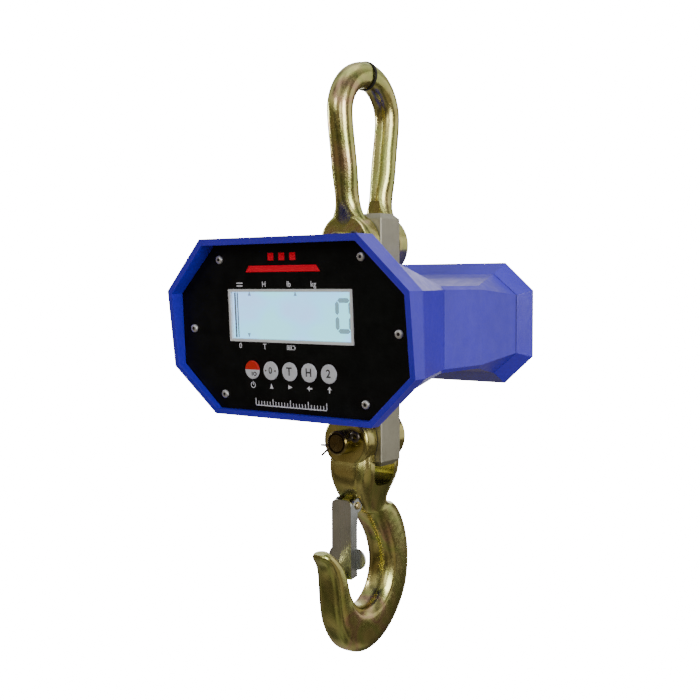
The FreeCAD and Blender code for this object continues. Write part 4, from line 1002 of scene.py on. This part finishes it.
@dataclass
class Display:
    """The lit display behind its window."""

    plane: PanelPlane
    digit_width: float = 17.5 * MM
    digit_height: float = 29.0 * MM
    segment: float = 3.9 * MM
    digit_across: float = 56.4 * MM
    marker: float = 4.2 * MM
    digit_rise: float = 0.8 * MM
    lit: str = "abcdef"
    marks: tuple[Triple, ...] = ((-45.5, 19.0, 0.0), (6.0, 19.0, 0.0), (-47.5, -17.5, 180.0))
    edges: tuple[Point, ...] = ((-62.4 * MM, 1.9 * MM), (-59.6 * MM, 1.3 * MM))
    edge_height: float = 39.4 * MM
    float_off: float = 0.04 * MM

    def build(self) -> None:
        """Frame, pane and cell, then the digit, the pointers and the cell's dark edge."""
        dress("display_frame", FRAME_GREY)
        dress("display_window", PANE)
        dress("display_glass", LCD)
        _, middle, lift = self.plane.find("display_glass")
        lift += self.float_off
        digit = seven_segments(self.digit_across, middle + self.digit_rise, self.digit_width,
                               self.digit_height, self.segment, self.lit)
        self.plane.draw("display_digit", digit, lift, LCD_INK, "scale_body", Slot.LCD_GLASS)
        pointers = [shape for u, v, turn in self.marks
                    for shape in arrow(u * MM, middle + v * MM, self.marker, turn)]
        self.plane.draw("display_pointers", pointers, lift, LCD_INK, "scale_body", Slot.LCD_GLASS)
        edges = [block(u, middle, width, self.edge_height) for u, width in self.edges]
        self.plane.draw("display_cell_edge", edges, lift, LCD_EDGE, "scale_body", Slot.LCD_GLASS)
        LOG.info("display built")


@dataclass
class Keys:
    """The five keys, each with a sign on its cap."""

    plane: PanelPlane
    type_size: float = 9.6 * MM
    line: float = 1.0 * MM
    power_bar: float = 3.4 * MM
    power_gap: float = 3.2 * MM
    power_ring: float = 1.5 * MM
    side_gap: float = 4.9 * MM
    side_mark: float = 2.2 * MM
    float_off: float = 0.03 * MM
    names: tuple[str, ...] = ("button_power", "button_zero", "button_tare", "button_hold", "button_second")

    def sign(self, name: str, u: float, v: float) -> list[Outline]:
        """The generic sign on one cap.

        Args:
            name: The key's node.
            u: The cap's centre, sideways.
            v: The cap's centre, upwards.

        Returns:
            The sign's outlines.
        """
        if name == "button_power":
            low = v - self.power_bar
            ring = hoop(u + self.power_gap, low, self.power_ring, self.line * 0.9)
            return [block(u, low, self.line, self.power_bar)] + ring
        if name == "button_zero":
            sides = arrow(u - self.side_gap, v, self.side_mark, -90.0)
            sides += arrow(u + self.side_gap, v, self.side_mark, 90.0)
            return letters("0", u, v, self.type_size * 0.85) + sides
        if name == "button_tare":
            return letters("T", u, v, self.type_size)
        if name == "button_hold":
            return letters("H", u, v, self.type_size)
        return letters("2", u, v, self.type_size)

    def build(self) -> None:
        """Caps and signs."""
        for name in self.names:
            u, v, lift = self.plane.find(name)
            low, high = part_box(name)
            if name == "button_power":
                split = (low.z + high.z) / 2
                dress(name, TwoToneKey("power key", KEY.colour, KEY.gloss, KEY.grain, KEY.depth, KEY.vary,
                                       split=split))
            else:
                dress(name, KEY)
            self.plane.draw(name + "_sign", self.sign(name, u, v), lift + self.float_off, DARK_INK, name,
                            Slot.KEY_GREY)
        LOG.info("keys built")


@dataclass
class PanelPrint:
    """Generic print on the panel's film: a red stripe, unit signs, key signs and a graduated line."""

    plane: PanelPlane
    float_off: float = 0.04 * MM
    type_size: float = 6.6 * MM
    line: float = 0.55 * MM
    socket: float = 1.45 * MM
    socket_drop: float = 0.45 * MM
    head_reach: float = 5.0 * MM
    stripe_ends: Point = (-47.0 * MM, 35.0 * MM)
    stripe_rise: Point = (48.2 * MM, 53.6 * MM)
    stripe_slope: float = 4.0 * MM
    square: float = 6.4 * MM
    square_up: float = 61.0 * MM
    squares: Triple = (-18.0 * MM, -6.0 * MM, 6.0 * MM)
    upper_row: float = 37.6 * MM
    lower_row: float = -15.8 * MM
    steady_across: float = -54.8 * MM
    steady_bar: Point = (7.0 * MM, 1.1 * MM)
    steady_gap: float = 1.2 * MM
    key_drop: float = 13.2 * MM
    power_line: float = 0.7 * MM
    power_radius: float = 2.4 * MM
    sign_size: float = 4.6 * MM
    tailed_size: float = 5.6 * MM
    rule_across: float = -2.4 * MM
    rule_up: float = -64.6 * MM
    rule_step: float = 3.25 * MM
    rule_steps: int = 24
    rule_line: float = 0.9 * MM
    long_mark: float = 5.8 * MM
    short_mark: float = 3.4 * MM

    def stripe(self) -> list[Outline]:
        """A plain red stripe with three squares over it."""
        (left, right), (foot, top), slope = self.stripe_ends, self.stripe_rise, self.stripe_slope
        band = [(left, foot), (right, foot), (right - slope, top), (left + slope, top)]
        return [band] + [block(u, self.square_up, self.square, self.square) for u in self.squares]

    def upper_signs(self) -> list[Outline]:
        """Steady, hold and the two units, over the display."""
        v = self.upper_row
        shapes = [block(self.steady_across, v + gap, *self.steady_bar)
                  for gap in (self.steady_gap, -self.steady_gap)]
        for word, across in (("H", -26.8 * MM), ("lb", 0.8 * MM), ("kg", 27.2 * MM)):
            shapes += letters(word, across, v, self.type_size)
        return shapes

    def lower_signs(self) -> list[Outline]:
        """Zero, tare and a small cell, under the display."""
        v = self.lower_row
        cell = [block(0.5 * MM, v + 1.6 * MM, 8.0 * MM, self.line),
                block(0.5 * MM, v - 1.6 * MM, 8.0 * MM, self.line),
                block(-3.5 * MM, v, self.line, 3.7 * MM), block(4.5 * MM, v, self.line, 3.7 * MM),
                block(5.3 * MM, v, 0.9 * MM, 1.6 * MM), block(-1.6 * MM, v, 1.4 * MM, 2.0 * MM),
                block(0.8 * MM, v, 1.4 * MM, 2.0 * MM)]
        zero = letters("0", -56.6 * MM, v, self.type_size)
        tare = letters("T", -28.6 * MM, v, self.type_size)
        return zero + tare + cell

    def key_signs(self) -> list[Outline]:
        """A sign under each key."""
        places = [self.plane.find(name)[:2] for name in Keys.names]
        (u, v), *others = [(u, v - self.key_drop) for u, v in places]
        shapes = hoop(u, v, self.power_radius, self.power_line, 120.0, 300.0)
        shapes.append(block(u, v + 1.6 * MM, self.power_line, 3.4 * MM))
        signs = ((self.sign_size, 0.0, False), (self.sign_size, -90.0, False),
                 (self.tailed_size, 90.0, True), (self.tailed_size, 0.0, True))
        for (u, v), (size, turn, tailed) in zip(others, signs):
            shapes += arrow(u, v, size, turn, tailed)
        return shapes

    def graduated_line(self) -> list[Outline]:
        """A ruled line with long and short marks near the panel's lower edge."""
        v, middle, step, line = self.rule_up, self.rule_across, self.rule_step, self.rule_line
        marks = [block(middle, v - 2.4 * MM, self.rule_steps * step, line)]
        for k in range(self.rule_steps + 1):
            tall = self.long_mark if k % 6 == 0 else self.short_mark
            across = middle + (k - self.rule_steps // 2) * step
            marks.append(block(across, v - 2.0 * MM + tall / 2, line, tall))
        return marks

    def sockets(self) -> None:
        """Painted shade: dark hexagons laid just inside the screws' sockets."""
        top = self.plane.find("panel_screws")[2]
        turns = [math.radians(60 * k) for k in range(6)]
        shapes = [[(u + self.socket * math.cos(t), v + self.socket * math.sin(t)) for t in turns]
                  for u, v in self.plane.heads("panel_screws", self.head_reach)]
        # Painted shade: one dark hexagon in each socket
        self.plane.draw("panel_screw_socket_shade", shapes, top - self.socket_drop, SOCKET_SHADE, "scale_body",
                        Slot.DARK_STEEL)

    def build(self) -> None:
        """The film, its print and the painted shade in the screw sockets."""
        dress("front_panel", FILM)
        self.sockets()
        pale = self.upper_signs() + self.lower_signs() + self.key_signs() + self.graduated_line()
        self.plane.draw("panel_signs", pale, self.float_off, INK, "scale_body", Slot.PANEL_BLACK)
        self.plane.draw("panel_stripe", self.stripe(), self.float_off, RED_INK, "scale_body", Slot.KEY_RED)
        LOG.info("panel print built")


# ------------------------------------------------------------------ studio
@dataclass
class Studio:
    """Pale floor, soft lights and the camera."""

    floor_drop: float = 0.35
    floor_half: float = 14.0
    camera_place: Triple = (0.5744, -0.7908, -0.1770)
    camera_azimuth: float = 36.8
    camera_dip: float = 3.52
    camera_roll: float = -0.25
    lens: float = 54.57
    sensor: float = 36.0
    lights: list[tuple[str, Triple, float, float]] = field(default_factory=lambda: [
        ("right light", (3.35, -0.7, 0.5), 1.5, 84.0),
        ("eye light", (2.3, -2.7, 0.4), 1.2, 13.0),
        ("back right light", (2.4, 3.1, 0.0), 2.4, 15.0),
        ("back left light", (-2.1, 3.2, 0.0), 2.2, 30.0),
        ("front light", (-0.6, -3.4, 1.3), 1.1, 22.0),
        ("left strip", (-2.6, -0.3, 0.3), 0.5, 16.0),
        ("top light", (0.3, 0.6, 2.6), 1.7, 11.0),
    ])

    sky: tuple[tuple[float, Colour], ...] = (
        (0.0, (0.20, 0.19, 0.16)), (0.40, (0.17, 0.14, 0.10)), (0.50, (0.13, 0.095, 0.055)),
        (0.58, (0.20, 0.17, 0.12)), (0.75, (0.40, 0.40, 0.38)), (1.0, (0.60, 0.61, 0.63)),
    )
    backdrop: float = 18.0
    room: float = 2.0
    room_range: Point = (0.38, 0.62)
    room_level: Point = (0.35, 2.1)

    def add_floor(self) -> None:
        """A wide pale floor under the hanging scale."""
        z = CAD_LOW.z - self.floor_drop
        h = self.floor_half
        mesh = bpy.data.meshes.new("floor")
        mesh.from_pydata([(-h, -h, z), (h, -h, z), (h, h, z), (-h, h, z)], [], [(0, 1, 2, 3)])
        pale = FLOOR.material()
        shader = pale.node_tree.nodes["Principled BSDF"]
        shader.inputs["Emission Color"].default_value = WHITE
        shader.inputs["Emission Strength"].default_value = self.backdrop
        mesh.materials.append(pale)
        floor = bpy.data.objects.new("floor", mesh)
        floor.visible_diffuse = False
        floor.visible_glossy = False
        into_scene(floor)

    def add_lights(self) -> None:
        """Large soft lights that face the scale's middle."""
        target = (CAD_LOW + CAD_HIGH) / 2
        for name, place, size, power in self.lights:
            data = bpy.data.lights.new(name, "AREA")
            data.size = size
            data.energy = power
            lamp = bpy.data.objects.new(name, data)
            lamp.location = place
            lamp.rotation_mode = "QUATERNION"
            lamp.rotation_quaternion = (target - Vector(place)).to_track_quat("-Z", "Y")
            into_scene(lamp)

    def add_sky(self) -> None:
        """Light from all round: bright overhead, darker at eye height, white behind the scale."""
        world = bpy.data.worlds.new("studio")
        world.use_nodes = True
        bpy.context.scene.world = world
        nodes, links = world.node_tree.nodes, world.node_tree.links
        shade = nodes["Background"]
        coords = nodes.new("ShaderNodeTexCoord")
        height = nodes.new("ShaderNodeSeparateXYZ")
        links.new(coords.outputs["Generated"], height.inputs[0])
        ramp = nodes.new("ShaderNodeValToRGB")
        fill_ramp(ramp, self.sky)
        lift = nodes.new("ShaderNodeMapRange")
        lift.inputs["From Min"].default_value = -1.0
        links.new(height.outputs["Z"], lift.inputs["Value"])
        links.new(lift.outputs["Result"], ramp.inputs["Fac"])
        patches = nodes.new("ShaderNodeTexNoise")
        patches.inputs["Scale"].default_value = self.room
        patches.inputs["Detail"].default_value = 1.0
        links.new(coords.outputs["Generated"], patches.inputs["Vector"])
        level = nodes.new("ShaderNodeMapRange")
        for end, source, result in zip(("Min", "Max"), self.room_range, self.room_level):
            level.inputs["From " + end].default_value = source
            level.inputs["To " + end].default_value = result
        links.new(patches.outputs["Fac"], level.inputs["Value"])
        links.new(level.outputs["Result"], shade.inputs["Strength"])
        links.new(ramp.outputs["Color"], shade.inputs["Color"])
        plain = nodes.new("ShaderNodeBackground")
        plain.inputs["Color"].default_value = WHITE
        plain.inputs["Strength"].default_value = self.backdrop
        path = nodes.new("ShaderNodeLightPath")
        either = nodes.new("ShaderNodeMixShader")
        links.new(path.outputs["Is Camera Ray"], either.inputs[0])
        links.new(shade.outputs[0], either.inputs[1])
        links.new(plain.outputs[0], either.inputs[2])
        links.new(either.outputs[0], nodes["World Output"].inputs["Surface"])

    def add_camera(self) -> None:
        """The camera, level with the housing and well to the right of the display."""
        data = bpy.data.cameras.new("camera")
        data.lens = self.lens
        data.sensor_width = self.sensor
        camera = bpy.data.objects.new("camera", data)
        azimuth, dip = math.radians(self.camera_azimuth), math.radians(self.camera_dip)
        level = math.cos(dip)
        ahead = Vector((-math.sin(azimuth) * level, math.cos(azimuth) * level, -math.sin(dip)))
        roll = Quaternion((0.0, 0.0, 1.0), math.radians(self.camera_roll))
        camera.location = self.camera_place
        camera.rotation_mode = "QUATERNION"
        camera.rotation_quaternion = ahead.to_track_quat("-Z", "Y") @ roll
        into_scene(camera)
        bpy.context.scene.camera = camera

    def build(self) -> None:
        """Floor, lights, sky and camera."""
        self.add_floor()
        self.add_lights()
        self.add_sky()
        self.add_camera()
        LOG.info("studio built")


def main() -> None:
    """Builds the crane scale's looks in order."""
    logging.basicConfig(level=logging.INFO, format="%(message)s")
    LoadPath().build()
    Housing().build()
    Insides().build()
    plane = PanelPlane("power_press", "front_panel")
    PanelPrint(plane).build()
    Display(plane).build()
    Keys(plane).build()
    Studio().build()


if __name__ == "__main__":
    main()
